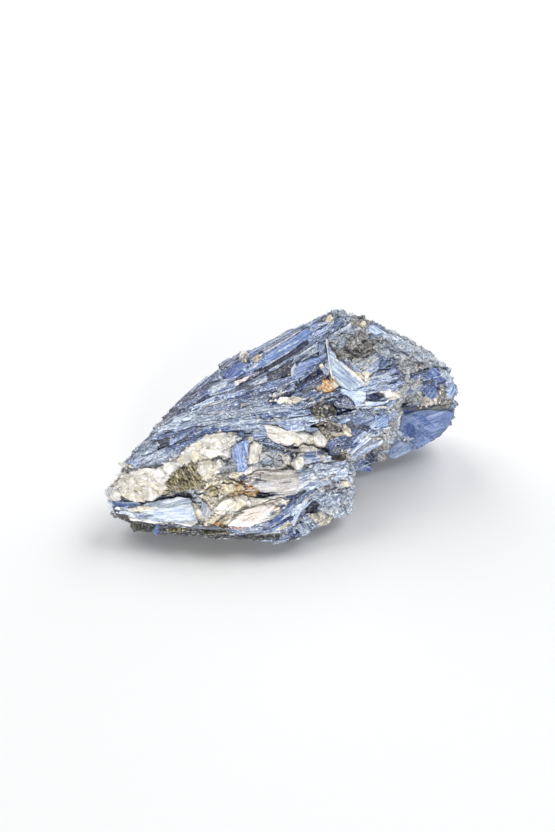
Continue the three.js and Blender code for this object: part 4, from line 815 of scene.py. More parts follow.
class Nodes:
    """A short way to write a material's nodes: add makes one, and joins or sets its inputs by name."""

    def __init__(self, name):
        self.material = bpy.data.materials.new(name)
        self.material.use_nodes = True
        self.tree = self.material.node_tree
        self.shader = self.tree.nodes["Principled BSDF"]

    def put(self, socket, value):
        if isinstance(value, bpy.types.NodeSocket):
            self.tree.links.new(value, socket)
        else:
            socket.default_value = value

    def add(self, kind, settings=None, **inputs):
        node = self.tree.nodes.new("ShaderNode" + kind)
        for key, value in (settings or {}).items():
            setattr(node, key, value)
        self.join(node, **inputs)
        return node

    def join(self, node, **inputs):
        for key, value in inputs.items():
            self.put(node.inputs[key.replace("_", " ")], value)

    def read(self, name, kind="Color"):
        return self.add("Attribute", {"attribute_name": name}).outputs[kind]

    def ramp(self, factor, low, high, least=0.0, most=1.0):
        """A number carried from low..high onto least..most."""
        node = self.add("MapRange", Value=factor, From_Min=low, From_Max=high, To_Min=least, To_Max=most)
        return node.outputs["Result"]

    def noise(self, vector, scale, detail=3.0):
        placed = self.add("Mapping", Vector=vector, Scale=scale).outputs["Vector"]
        return self.add("TexNoise", Vector=placed, Scale=1.0, Detail=detail).outputs["Fac"]

    def mix(self, factor, first, second, blend="MIX"):
        node = self.add("Mix", {"data_type": "RGBA", "blend_type": blend}, Factor=factor)
        self.put(node.inputs[FIRST_COLOUR], first)
        self.put(node.inputs[SECOND_COLOUR], second)
        return node.outputs[MIXED_COLOUR]

    def splinters(self, vector, streak, finer):
        """Long cells: one random number for each, and the distance to the cell's edge."""
        scale = (streak[0] * finer, streak[1] * finer, SPLINTER_DEEP)
        placed = self.add("Mapping", Vector=vector, Scale=scale).outputs["Vector"]
        cell = self.add("TexVoronoi", Vector=placed, Scale=1.0)
        edge = self.add("TexVoronoi", {"feature": "DISTANCE_TO_EDGE"}, Vector=placed, Scale=1.0)
        number = self.add("SeparateColor", Color=cell.outputs["Color"]).outputs[0]
        return number, edge.outputs["Distance"]

    def times(self, colour, factors):
        return self.mix(1.0, colour, (*factors, 1.0), "MULTIPLY")

    def reckon(self, operation, first, second):
        node = self.add("Math", {"operation": operation})
        self.put(node.inputs[0], first)
        self.put(node.inputs[1], second)
        return node.outputs[0]


def opaque(name):
    """A tint with full opacity, as a colour socket takes it."""
    return (*white_light(*TINTS[name]), 1.0)


# Sizes of a finish, per mm: how often splinters, the wandering of their lie, fibres and specks repeat.
# The specks are dark dots and painted glints.
SPLINTER_DEEP = 1.3
FINER = 2.4
WANDER_SCALE, WANDER = 0.3, (1.0, 0.5, 0.0)
FIBRES_ALONG, FIBRES_ACROSS, FIBRES_DEEP = 2.0, 3.2, 1.7
SPECK_SCALE = (1.5, 1.9, 1.5)
# What a number from a splinter, a fibre, a speck or a tint's brightness is carried from and onto.
SECOND_TINT = (0.3, 0.85, 0.0, 0.75)
DARK_SPLINTER = (0.0, 0.5, 0.9, 0.0)
DARK_FIBRE = (0.36, 0.5, 0.8, 0.0)
LIGHT_SHARE = (0.02, 0.14, 0.15, 1.0)
LIGHT_FIBRE = (0.53, 0.68)
LIGHT_SPLINTER = (0.7, 1.0)
SEAM = (0.0, 0.05)
DARK_SPECK = (0.34, 0.44)
# Painted glints: white dots where the speck noise is high, on light tints only.
PAINTED_GLINT = (0.57, 0.66)
PAINTED_GLINT_SHARE = (0.15, 1.0, 0.4, 1.0)
# Painted highlight: the rim value carried onto a lighter edge.
RIM_HIGHLIGHT_RAMP = (0.2, 1.0, 0.0, 0.5)
BROAD_HEIGHT = (0.0, 1.0, 0.0, 0.6)
TWICE = (2.0, 2.0, 2.0)
ICE_IN_LIGHT = 0.4
FROST_ON_SPLINTERS = 0.7
SEAM_SHADE, SPECK_SHADE = 0.5, 0.8
BUMP_METRES = 0.0004
CRYSTAL_IOR = 1.6
CLEAR_METRES, CLEAR_REACH = 0.0012, (1.0, 0.95, 0.9)


def stone_finish(name, streak, rough, bumpy, frost, shade, seams, specks_and_glints, clear=0.0):
    """One mineral as a mass of splinters: each takes its own share of two colours, with dark seams between.

    The splinters follow the piece's own lie, in mm along and across its crystals. Thin fibres run inside
    them, light or dark, and small dark dots lie on all of it. White dots are painted glints, and a
    lighter rim is a painted highlight on the edges. Light fibres, frost, the painted glints and the painted
    rim highlight are weaker where the tint is dark. Shade is what a dark splinter keeps of its red, green
    and blue, and clear is how much light goes through.
    """
    n = Nodes(name)
    straight = n.read("lie", "Vector")
    tint, second = n.read("tint"), n.read("second")
    warp = n.add("TexNoise", Vector=straight, Scale=WANDER_SCALE, Detail=1.0).outputs["Color"]
    strayed = n.add("VectorMath", {"operation": "MULTIPLY_ADD"})
    for socket, value in zip(strayed.inputs, (warp, WANDER, straight)):
        n.put(socket, value)
    lie = strayed.outputs[0]
    large, seam = n.splinters(lie, streak, 1.0)
    small, _ = n.splinters(lie, streak, FINER)
    fibre = n.noise(lie, (streak[0] * FIBRES_ALONG, streak[1] * FIBRES_ACROSS, FIBRES_DEEP), 3.0)
    speck = n.noise(lie, SPECK_SCALE, 2.0)
    two = n.mix(n.ramp(large, *SECOND_TINT), tint, second)
    lighter = n.mix(ICE_IN_LIGHT, n.times(two, TWICE), opaque("ice"))
    lighter.node.clamp_result = True
    share = n.ramp(n.add("RGBToBW", Color=two).outputs[0], *LIGHT_SHARE)
    seam_shade = [part * SEAM_SHADE for part in shade]
    speck_shade = [part * SPECK_SHADE for part in shade]

    def lit(factor):
        return n.reckon("MULTIPLY", share, factor)

    shaded = n.mix(n.ramp(small, *DARK_SPLINTER), two, n.times(two, shade))
    fibred = n.mix(n.ramp(fibre, *DARK_FIBRE), shaded, n.times(shaded, shade))
    lined = n.mix(lit(n.ramp(fibre, *LIGHT_FIBRE, 0.0, frost)), fibred, lighter)
    frosty = n.mix(lit(n.ramp(small, *LIGHT_SPLINTER, 0.0, frost * FROST_ON_SPLINTERS)), lined, lighter)
    seamed = n.mix(n.ramp(seam, *SEAM, seams, 0.0), frosty, n.times(frosty, seam_shade))
    dotted = n.mix(n.ramp(speck, *DARK_SPECK, specks_and_glints, 0.0), seamed, n.times(seamed, speck_shade))
    # Painted glints: white dots on light tints, where the speck noise is high.
    painted_glint = n.reckon("MULTIPLY", n.ramp(share, *PAINTED_GLINT_SHARE), n.ramp(speck, *PAINTED_GLINT, 0.0, specks_and_glints))
    bright = n.mix(painted_glint, dotted, opaque("white"))
    # Painted highlight: edges lighter where the rim value is high.
    rim_highlighted = n.mix(lit(n.ramp(n.read("rim", "Fac"), *RIM_HIGHLIGHT_RAMP)), bright, opaque("ice"))
    calmed = n.mix(n.read("plain", "Fac"), rim_highlighted, two)
    broad = n.reckon("ADD", n.ramp(large, *BROAD_HEIGHT), small)
    height = n.reckon("ADD", broad, n.reckon("ADD", fibre, speck))
    bump = n.add("Bump", Strength=bumpy, Distance=BUMP_METRES, Height=height)
    n.join(n.shader, Base_Color=calmed, Roughness=n.ramp(small, 0.0, 1.0, *rough), IOR=CRYSTAL_IOR,
           Normal=bump.outputs[0])
    if clear:
        n.join(n.shader, Subsurface_Weight=clear, Subsurface_Scale=CLEAR_METRES,
               Subsurface_Radius=CLEAR_REACH)
    return n.material


# Crystals that grow on the body

# A blade: places along it, its profile across and out with how strongly each corner takes the painted rim
# highlight, how far its ends may float above the stone, and how it strays.
STATIONS = np.array((-1.0, -0.45, 0.4, 1.0))
BLADE_PROFILE = np.array(((-0.5, -0.7), (-0.5, 0.2), (-0.36, 0.5), (0.36, 0.5), (0.5, 0.2), (0.5, -0.7)))
BLADE_RIM_HIGHLIGHT = np.array((0.6, 1.0, 0.0, 0.0, 1.0, 0.6))
FLOAT_MOST = 0.35
LEAST_FLOAT = 1e-6
SHORTEN_MOST, SHORTEN_ROUNDS = 0.45, 4
LYING, KEPT_WAY = 0.75, 0.2
STATION_STRAY, DRIFT, ASLANT = 0.12, 0.12, 0.6
NARROWED, END_NARROWED = (0.78, 1.0), (0.55, 1.0)
LIE_SPREAD = 400


def above_stone(places):
    """How far each place lies above the stone's skin."""
    hits = [core_tree.find_nearest(Vector(place)) for place in places]
    nearest = np.array([hit[0] for hit in hits])
    outward = np.array([hit[1] for hit in hits])
    return ((places - nearest) * outward).sum(axis=1)


def laid_on_stone(place, along, out, length):
    """Blades turned to lie along the stone, and shortened until neither end floats above it."""
    half = along * (length / 2)[:, None]
    ahead, behind = onto_stone(place + half), onto_stone(place - half)
    turned = unit(unit(ahead - behind) * (1.0 - KEPT_WAY) + along * KEPT_WAY)
    lying = (turned * along).sum(axis=1, keepdims=True) > LYING
    along = np.where(lying, turned, along)
    out = unit(out - along * (out * along).sum(axis=1, keepdims=True))
    for _ in range(SHORTEN_ROUNDS):
        half = along * (length / 2)[:, None]
        float_by = np.maximum(above_stone(place + half), above_stone(place - half))
        length = length * np.clip(FLOAT_MOST / np.maximum(float_by, LEAST_FLOAT), SHORTEN_MOST, 1.0)
    return along, out, length


def blades(name, place, along, out, length, width, thick, tint, second, seed, finish, edge=1.0):
    """Many blades at once: a six-sided profile is carried along each blade's own line.

    point = place + along * u * length / 2 + across * (v * width * w + drift) + out * h * thick * w, for u
    over the stations and (v, h) round the profile. w narrows towards the broken ends, drift strays a little,
    and edge is how strongly the blade's rims take a painted highlight.
    """
    random = np.random.default_rng(seed)
    count, steps, sides = len(place), len(STATIONS), len(BLADE_PROFILE)
    across = unit(np.cross(out, along))
    u = STATIONS[None] + random.uniform(-STATION_STRAY, STATION_STRAY, (count, steps))
    narrow = random.uniform(*NARROWED, (count, steps))
    narrow[:, (0, -1)] *= random.uniform(*END_NARROWED, (count, 2))
    drift = random.uniform(-DRIFT, DRIFT, (count, steps)) * width[:, None]
    slant = np.zeros((count, steps, sides))
    for end in (0, -1):
        slant[:, end] = random.uniform(-ASLANT, ASLANT, (count, 1)) * BLADE_PROFILE[:, 0]
    run = u[:, :, None] * length[:, None, None] / 2 + slant * width[:, None, None]
    side = BLADE_PROFILE[None, None, :, 0] * (width[:, None] * narrow)[:, :, None] + drift[:, :, None]
    rise = BLADE_PROFILE[None, None, :, 1] * (thick[:, None] * (0.5 + 0.5 * narrow))[:, :, None]
    points = (place[:, None, None] + run[..., None] * along[:, None, None]
              + side[..., None] * across[:, None, None] + rise[..., None] * out[:, None, None])
    first = (np.arange(count) * steps * sides)[:, None, None]
    rows = first + (np.arange(steps - 1) * sides)[None, :, None]
    ring = rows + np.arange(sides)[None, None]
    turn = rows + ((np.arange(sides) + 1) % sides)[None, None]
    walls = np.stack((ring, ring + sides, turn + sides, turn), axis=-1).reshape(-1, 4)
    start = first[:, 0] + np.arange(sides)[None]
    end = first[:, 0] + (steps - 1) * sides + np.arange(sides)[None, ::-1]
    faces = walls.tolist() + start.tolist() + end.tolist()
    own = np.broadcast_to(random.uniform(0, LIE_SPREAD, count)[:, None, None], run.shape)
    return put_mesh(name, points.reshape(-1, 3), faces, {
        "tint": np.repeat(tint, steps * sides, axis=0),
        "second": np.repeat(second, steps * sides, axis=0),
        "lie": np.stack((run, side, own), axis=-1).reshape(-1, 3),
        # Painted highlight on the blades' side edges.
        "rim": np.tile(BLADE_RIM_HIGHLIGHT * edge, count * steps),
    }, finish)


# A grain: its rows and columns of corners, how far out each corner lies, and how flat the grain is.
GRAIN_ROWS, GRAIN_COLUMNS = 2, 5
CORNER_FAR, GRAIN_FLAT = (0.62, 1.2), (0.55, 1.0)


def grains(name, place, size, tint, second, seed, square, finish, even):
    """Many broken grains at once: a ball worked out on rows and columns, each corner at its own distance.

    point = place + size / 2 * far * turn(sin(a) cos(b), sin(a) sin(b), cos(a)), each part raised to the
    power square, which makes the ball blockier as it falls below 1. Even is how much the streaks are
    shortened.
    """
    random = np.random.default_rng(seed)
    count, rows, columns = len(place), GRAIN_ROWS, GRAIN_COLUMNS
    a = np.linspace(0, math.pi, rows + 2)[1:-1]
    b = np.arange(columns) * 2 * math.pi / columns
    ring = np.stack((np.sin(a)[:, None] * np.cos(b), np.sin(a)[:, None] * np.sin(b),
                     np.repeat(np.cos(a)[:, None], columns, axis=1)), axis=-1).reshape(-1, 3)
    ball = np.concatenate((((0, 0, 1),), ring, ((0, 0, -1),)))
    ball = np.sign(ball) * np.abs(ball) ** square
    corners = ball[None] * random.uniform(*CORNER_FAR, (count, len(ball), 1))
    corners *= random.uniform(*GRAIN_FLAT, (count, 1, 3))
    first, other = unit(random.normal(size=(count, 3))), random.normal(size=(count, 3))
    other = unit(np.cross(first, other))
    turned = np.stack((first, other, np.cross(first, other)), axis=1)
    points = place[:, None] + (corners @ turned) * (size / 2)[:, None, None]
    base = (np.arange(count) * len(ball))[:, None, None]
    here = 1 + np.arange(rows)[:, None] * columns + np.arange(columns)[None]
    there = 1 + np.arange(rows)[:, None] * columns + (np.arange(columns) + 1)[None] % columns
    walls = np.stack((here[:-1], here[1:], there[1:], there[:-1]), axis=-1).reshape(1, -1, 4) + base
    top = np.stack((np.zeros(columns, int), here[0], there[0]), axis=-1)[None] + base
    bottom = np.stack((np.full(columns, len(ball) - 1), there[-1], here[-1]), axis=-1)[None] + base
    faces = walls.reshape(-1, 4).tolist() + top.reshape(-1, 3).tolist() + bottom.reshape(-1, 3).tolist()
    own = random.uniform(0, LIE_SPREAD, (count, 1, 1))
    lie = corners * (size / 2)[:, None, None] * (even, 1.0, 1.0) + own * (0, 0, 1)
    return put_mesh(name, points.reshape(-1, 3), faces, {
        "tint": np.repeat(tint, len(ball), axis=0),
        "second": np.repeat(second, len(ball), axis=0),
        "lie": lie.reshape(-1, 3),
        "rim": np.zeros(count * len(ball)),
    }, finish)


def inside(spots, corners):
    """Which spots lie inside an outline: a line from the spot crosses its edge an odd number of times."""
    after = np.roll(corners, -1, axis=0)
    odd = np.zeros(len(spots), dtype=bool)
    for (x0, y0), (x1, y1) in zip(corners, after):
        if y0 != y1:
            between = (spots[:, 1] < y0) != (spots[:, 1] < y1)
            odd ^= between & (spots[:, 0] < x0 + (x1 - x0) * (spots[:, 1] - y0) / (y1 - y0))
    return odd


def in_picture(places):
    """Where places in millimetres show in the photograph, in pixels."""
    away = places - EYE
    scale = FOCAL_PIXELS / (away @ SIGHT)
    return np.stack((PHOTO_WIDE / 2 + away @ RIGHT * scale, PHOTO_HIGH / 2 - away @ UP * scale), axis=1)


TURNED_TO_EYE = 0.3


def under_plates(places, normals):
    """Which places a plate covers in the photograph, where nothing else grows."""
    spots = in_picture(places)
    covered = np.zeros(len(places), dtype=bool)
    for flat, _, _, _ in PLATES:
        covered |= inside(spots, np.array(flat, dtype=float).reshape(-1, 2))
    return covered & (normals @ SIGHT < TURNED_TO_EYE)


# Seeds of crystals on each square millimetre, fewer where the photograph doesn't show the stone.
SEEDS_PER_MM2 = {"blade": 0.42, "layer": 0.5, "crumb": 0.7, "crust": 0.9, "quartz": 0.24, "mica": 0.01,
                 "pit": 0.05, "face": 0.03}
HIDDEN_SHARE = 0.45
LOWEST_SEED = 1.0
SEED_STRAY = 0.6


def seed_places(seed):
    """Places scattered over the stone, more of them where the growth is small: place, normal and patch."""
    random = np.random.default_rng(seed)
    corners = core_points[core_triangles]
    crossed = np.cross(corners[:, 1] - corners[:, 0], corners[:, 2] - corners[:, 0])
    area = np.linalg.norm(crossed, axis=1) / 2
    chosen = nearest_patch(corners.mean(axis=1), unit(crossed), np.zeros(3))
    per_area = np.vectorize(SEEDS_PER_MM2.get)(patches["growth"][chosen]).astype(float)
    shown = chosen < len(patches["growth"]) - len(HIDDEN_PATCHES)
    weight = area * per_area * np.where(shown, 1.0, HIDDEN_SHARE)
    picked = random.choice(len(weight), int(weight.sum()), p=weight / weight.sum())
    r, s = random.random((2, len(picked)))
    flip = r + s > 1
    r[flip], s[flip] = 1 - r[flip], 1 - s[flip]
    a, b, c = corners[picked, 0], corners[picked, 1], corners[picked, 2]
    places = a + (b - a) * r[:, None] + (c - a) * s[:, None]
    places = places[places[:, 2] > LOWEST_SEED]
    normals = broad_normals(places)
    bare = ~under_plates(places, normals)
    places, normals = places[bare], normals[bare]
    return places, normals, nearest_patch(places, normals, random.normal(0, SEED_STRAY, places.shape))


# How a grown blade strays from its patch's direction, how it lies in the stone, and its shades.
FEW_LARGE = 2.2
LENGTH_SHARES, WIDTH_SHARES = (0.7, 1.0), (0.5, 1.0)
STEADIER = 1.2
ALONG_STRAY, OUT_STRAY = 0.06, 0.2
WIDEST_SHARE = 0.4
BLADE_SUNK = 0.4
BLADE_SHADES, GRAIN_SHADES = (0.85, 1.12), (0.9, 1.08)


def seeds_of(growth, seeds):
    """The seeds of one growth: their places, normals and patches."""
    here = patches["growth"][seeds[2]] == growth
    return [values[here] for values in seeds]


def grow_blades(name, growth, lengths, widths, thicknesses, seeds, seed):
    """Blades of one growth on the scattered places; each size is given as its least and most in mm."""
    places, normals, chosen = seeds_of(growth, seeds)
    random = np.random.default_rng(seed)
    count = len(places)
    large = random.random(count) ** FEW_LARGE
    length = lengths[0] + (lengths[1] - lengths[0]) * large * random.uniform(*LENGTH_SHARES, count)
    width = widths[0] + (widths[1] - widths[0]) * large * random.uniform(*WIDTH_SHARES, count)
    thick = random.uniform(*thicknesses, count)
    along = unit(directions(chosen, normals) + random.normal(0, ALONG_STRAY, (count, 3)))
    out = unit(normals + random.normal(0, OUT_STRAY, (count, 3)) * (STEADIER - large)[:, None])
    out = unit(out - along * (out * along).sum(axis=1, keepdims=True))
    along, out, length = laid_on_stone(places, along, out, length)
    mixtures = patches["mixture"][chosen]
    tint = mixed_tints(mixtures, random.random(count)) * random.uniform(*BLADE_SHADES, (count, 1))
    sunk = places - normals * (BLADE_SUNK * thick)[:, None]
    return blades(name, sunk, along, out, length, np.minimum(width, length * WIDEST_SHARE), thick, tint,
                  mixed_tints(mixtures, random.random(count)), seed + 1, FINISH["kyanite"])


def grow_grains(name, growth, sizes, seeds, seed, square, sink, even):
    """Grains of one growth; sizes are least and most in mm, and a power that makes large grains rarer."""
    places, normals, chosen = seeds_of(growth, seeds)
    random = np.random.default_rng(seed)
    count = len(places)
    size = sizes[0] + (sizes[1] - sizes[0]) * random.random(count) ** sizes[2]
    mixtures = patches["mixture"][chosen]
    tint = mixed_tints(mixtures, random.random(count)) * random.uniform(*GRAIN_SHADES, (count, 1))
    sunk = places - normals * (sink * size)[:, None]
    second = mixed_tints(mixtures, random.random(count))
    return grains(name, sunk, size, tint, second, seed + 1, square, FINISH[growth], even)


# The mica book: how many leaves, how far they spread in mm, how they fan, and the least and most of their
# sizes.
LEAVES = 130
BOOK_SPREAD, BOOK_FLAT = 1.3, (1, 1, 0.6)
LEAF_SEED, LEAF_SUNK = 61, 0.5
LEAF_ALONG_STRAY, LEAF_OUT_STRAY = 0.28, 0.35
LEAF_LENGTH, LEAF_WIDTH, LEAF_THICK = (1.4, 3.8), (0.8, 2.0), (0.12, 0.35)


def mica_book():
    """Mica leaves: thin blades on edge, fanned round the book's own direction."""
    random = np.random.default_rng(LEAF_SEED)
    mine = np.nonzero(patches["growth"] == "mica")[0]
    chosen = mine[random.integers(0, len(mine), LEAVES)]
    spread = random.normal(0, BOOK_SPREAD, (LEAVES, 3)) * BOOK_FLAT
    places = onto_stone(patches["place"][chosen] + spread)
    normals = broad_normals(places)
    along = unit(directions(chosen, normals) + random.normal(0, LEAF_ALONG_STRAY, (LEAVES, 3)))
    out = unit(np.cross(along, normals) + random.normal(0, LEAF_OUT_STRAY, (LEAVES, 3)))
    mixtures = patches["mixture"][chosen]
    sizes = [random.uniform(*ends, LEAVES) for ends in (LEAF_LENGTH, LEAF_WIDTH, LEAF_THICK)]
    tint = mixed_tints(mixtures, random.random(LEAVES))
    second = mixed_tints(mixtures, random.random(LEAVES))
    return blades("mica_leaves", places - normals * LEAF_SUNK, along, out, *sizes, tint, second,
                  LEAF_SEED + 1, FINISH["mica"], edge=0.0)


# Crystals placed one by one

PIXEL = CAMERA_FAR / FOCAL_PIXELS
# Where a placed crystal lies: how far towards the camera its plane is turned at least, which places under it
# count, and how high among them it lies.
LEAST_FACING, TURN = 0.35, 1.3
SAMPLE_SHARES = (0.75, 0.35)
SAME_SURFACE = 6.0
RIDE_HIGH = 0.6
# Its outline in pixels: the aslant ends of a bar, the length and stray of broken edges, the width of facets.
BAR_ASLANT = (0.4, 0.5)
EDGE_STEP, EDGE_STRAY = 2.6, 0.6
FACET_STEP = 5.0
FACET_INSET = 1.6
DOUBLES_WITHIN = 1e-5
# Its form in mm: a plate's bevel and sunk wall, a lump's inset top, uneven wall and flare.
PLATE_TILT, PLATE_BEVEL, PLATE_EDGE, PLATE_DEEP = 0.05, 0.25, 0.3, 1.8
LUMP_TILT, LUMP_INSET, LUMP_EDGE, LUMP_DEEP = 0.2, (0.1, 0.35), (0.3, 0.8), 2.0
LUMP_FLARE, FLARES_ABOVE = 0.3, 0.5
LUMP_SPAN, FACET_HEIGHTS = 5.0, (0.15, 1.0)
TOP_ABOVE_RIM = 0.02
# How strongly a plate's bevelled edge takes the painted rim highlight.
PLATE_RIM_HIGHLIGHT = 0.7
CRYSTAL_SHADES = (0.92, 1.08)


def bar_corners(x0, y0, x1, y1, width):
    """The four corners of a bar in the photograph, its ends broken a little aslant."""
    ahead = np.array((x1 - x0, y1 - y0))
    ahead = ahead / np.linalg.norm(ahead)
    side = np.array((ahead[1], -ahead[0])) * width / 2
    first, last = np.array((x0, y0)), np.array((x1, y1))
    near, far = (ahead * share * width for share in BAR_ASLANT)
    return np.array((first - side, first + side + near, last + side, last - side - far))


def broken_edge(corners, random):
    """More corners along each edge, strayed a little, so that an edge looks broken and not cut."""
    after = np.roll(corners, -1, axis=0)
    edge = []
    for first, last in zip(corners, after):
        count = max(2, int(np.linalg.norm(last - first) / EDGE_STEP))
        steps = np.arange(count)[:, None] / count
        line = first + (last - first) * steps
        line[1:] += random.uniform(-EDGE_STRAY, EDGE_STRAY, (count - 1, 2))
        edge.append(line)
    return np.concatenate(edge)


def plane_under(corners):
    """The plane that a placed crystal lies in: a place on the stone, its slope, and how far out it comes."""
    middle = corners.mean(axis=0)
    rings = [corners * share + middle * (1.0 - share) for share in SAMPLE_SHARES]
    hits = [on_stone(*sample) for sample in np.concatenate((*rings, middle[None]))]
    hits = np.array([hit for hit in hits if hit is not None])
    near = np.abs((hits - np.median(hits, axis=0)) @ SIGHT) < SAME_SURFACE
    hits = hits[near] if near.any() else hits
    normal = unit(broad_normals(hits).mean(axis=0))
    facing = -normal @ SIGHT
    if facing < LEAST_FACING:
        normal = unit(normal - SIGHT * (LEAST_FACING - facing) * TURN)
    place = np.median(hits, axis=0)
    return place, normal, np.quantile((hits - place) @ normal, RIDE_HIGH)


def facet_corners(corners, random):
    """Spots inside an outline, about one for each facet of a lump."""
    low, high = corners.min(axis=0), corners.max(axis=0)
    count = int(np.prod(high - low) / FACET_STEP ** 2) + 1
    spots = random.uniform(low, high, (count, 2))
    middle = corners.mean(axis=0)
    return spots[inside(middle + (spots - middle) * FACET_INSET, corners)]


def top_faces(tops, within, along, across):
    """The faces of a crystal's top: one flat face, or triangles between its rim and the spots within."""
    if not len(within):
        return [list(range(len(tops)))]
    every = np.concatenate((tops, within))
    flat = [Vector((place @ along, place @ across)) for place in every]
    outline = [list(range(len(tops)))]
    places, _, triangles, first, _, _ = delaunay_2d_cdt(flat, [], outline, 1, DOUBLES_WITHIN)
    if len(places) != len(every):
        return outline
    return [[first[i][0] for i in triangle] for triangle in triangles]


def crystal_rings(rim, centre, normal, lift, lump, random):
    """The three rings of a crystal's wall: its top's corners, the edge below them, and one in the stone."""
    size = len(rim)
    inward = unit(centre - rim)
    tilt = random.normal(0, LUMP_TILT if lump else PLATE_TILT, 3)
    if lump:
        tops = rim + (centre - rim) * random.uniform(*LUMP_INSET, (size, 1)) + normal * TOP_ABOVE_RIM
        edge = rim - normal * random.uniform(*LUMP_EDGE, (size, 1))
        flare = LUMP_FLARE if lump > FLARES_ABOVE else 0.0
        deep = rim - inward * flare - normal * (lift + LUMP_DEEP)
    else:
        tops = rim + inward * PLATE_BEVEL + normal * TOP_ABOVE_RIM
        edge = rim - normal * PLATE_EDGE
        deep = rim - normal * (lift + PLATE_DEEP)
    tops += normal * ((tops - centre) @ tilt)[:, None]
    return tops, edge, deep


def crystal_faces(rings, within, along, across):
    """The faces of one crystal: two rows of walls, its foot and its top."""
    size = len(rings[0])
    ring = np.arange(size)
    turn = (ring + 1) % size
    faces = []
    for low, high in ((size, 0), (2 * size, size)):
        faces += np.stack((ring + low, turn + low, turn + high, ring + high), axis=1).tolist()
    faces.append((2 * size + ring[::-1]).tolist())
    return faces + [[i if i < size else 2 * size + i for i in face]
                    for face in top_faces(rings[0], within, along, across)]


def placed_crystal(row, lump, random):
    """One crystal's points, faces and values, its outline carried onto the plane of the stone there."""
    corners, lift, main, second, ahead = row
    middle, normal, high = plane_under(corners)
    edge = broken_edge(corners, random)
    spots = facet_corners(corners, random) if lump else np.empty((0, 2))
    rays = np.array([sight_through(x, y) for x, y in np.concatenate((edge, spots))])
    level = (middle + normal * (high + lift) - EYE) @ normal
    rim = EYE + rays * (level / (rays @ normal))[:, None]
    rim, within = rim[:len(edge)], rim[len(edge):]
    centre = rim.mean(axis=0)
    if np.cross(rim[1] - rim[0], rim[2] - rim[1]) @ normal < 0:
        rim = rim[::-1]
    rings = crystal_rings(rim, centre, normal, lift, lump, random)
    way = unit(RIGHT * ahead[0] - UP * ahead[1])
    along = unit(way - normal * (way @ normal))
    across = np.cross(normal, along)
    span = math.sqrt(np.prod(np.ptp(corners, axis=0))) * PIXEL
    raise_by = random.uniform(*FACET_HEIGHTS, (len(within), 1)) * lump * min(1.0, span / LUMP_SPAN)
    points = np.concatenate((*rings, within + normal * raise_by))
    away = points - centre
    own = np.full(len(points), random.uniform(0, LIE_SPREAD))
    # Painted highlight: a plate's bevelled edge ring is lightened, a lump's is not.
    rim_highlight = np.zeros(len(points))
    rim_highlight[len(rim):2 * len(rim)] = 0.0 if lump else PLATE_RIM_HIGHLIGHT
    tint = white_light(*TINTS[main]) * random.uniform(*CRYSTAL_SHADES)
    return points, crystal_faces(rings, within, along, across), {
        "tint": np.tile(tint, (len(points), 1)),
        "second": np.tile(white_light(*TINTS[second]), (len(points), 1)),
        "lie": np.stack((away @ along, away @ across, own), axis=1),
        "rim": rim_highlight,
    }


def placed_crystals(name, rows, seed, finish, lump):
    """Crystals whose outlines the photograph shows, as one piece.

    The top of each is a flat bevelled face, or facets where lump gives their height in mm, and walls run
    down from its rim into the stone.
    """
    random = np.random.default_rng(seed)
    crystals = [placed_crystal(row, lump, random) for row in rows]
    start, faces = 0, []
    for points, own_faces, _ in crystals:
        faces += [[start + corner for corner in face] for face in own_faces]
        start += len(points)
    values = {label: np.concatenate([crystal[2][label] for crystal in crystals]) for label in crystals[0][2]}
    return put_mesh(name, np.concatenate([crystal[0] for crystal in crystals]), faces, values, finish)


# Which piece a placed crystal belongs to, by its main tint or by where it lies: right of and below the
# first corner the front right block's plates are lumps, and beyond the second one the right end's are
# smooth faces.
PIECE_OF_TINT = {
    "placed_quartz": ("white", "cream", "sand", "milk", "fog", "yolk"),
    "placed_crumb": ("stone", "tan", "ochre", "rust", "olive", "moss"),
    "placed_layers": ("pink", "shell"),
}
BLOCK_CORNER = (295, 458)
FACE_CORNER = (388, 405)
# Seed, finish, and the height of facets in mm.
PLACED = {
    "placed_quartz": (71, "quartz", 1.5), "placed_crumb": (73, "crumb", 0.8),
    "placed_layers": (75, "layered", 0.4),
    "placed_lumps": (76, "kyanite", 0.8), "placed_blades": (72, "kyanite", 0.0),
    "placed_plates": (74, "plate", 0.0),
    "placed_faces": (77, "face", 0.0),
}


def piece_of(main, corners, otherwise):
    """The piece that a placed crystal belongs to. Pale bars are too thin for quartz,
     so they join the layers."""
    for piece, tints in PIECE_OF_TINT.items():
        if main in tints:
            pale_bar = piece == "placed_quartz" and otherwise == "placed_blades"
            return "placed_layers" if pale_bar else piece
    middle = corners.mean(axis=0)
    if otherwise == "placed_plates" and (middle > BLOCK_CORNER).all():
        return "placed_lumps"
    return "placed_faces" if (middle > FACE_CORNER).all() else otherwise


def longest_side(corners):
    """The direction of an outline's longest side, which its streaks follow."""
    spans = np.roll(corners, -1, axis=0) - corners
    return spans[np.linalg.norm(spans, axis=1).argmax()]


def place_crystals():
    """The bars and plates, as one piece for each mineral."""
    groups = {name: [] for name in PLACED}
    for x0, y0, x1, y1, width, lift, main, second in BARS:
        corners = bar_corners(x0, y0, x1, y1, width)
        piece = piece_of(main, corners, "placed_blades")
        groups[piece].append((corners, lift, main, second, (x1 - x0, y1 - y0)))
    for flat, lift, main, second in PLATES:
        corners = np.array(flat, dtype=float).reshape(-1, 2)
        piece = piece_of(main, corners, "placed_plates")
        groups[piece].append((corners, lift, main, second, longest_side(corners)))
    for name, (seed, finish, lump) in PLACED.items():
        placed_crystals(name, groups[name], seed, FINISH[finish], lump)


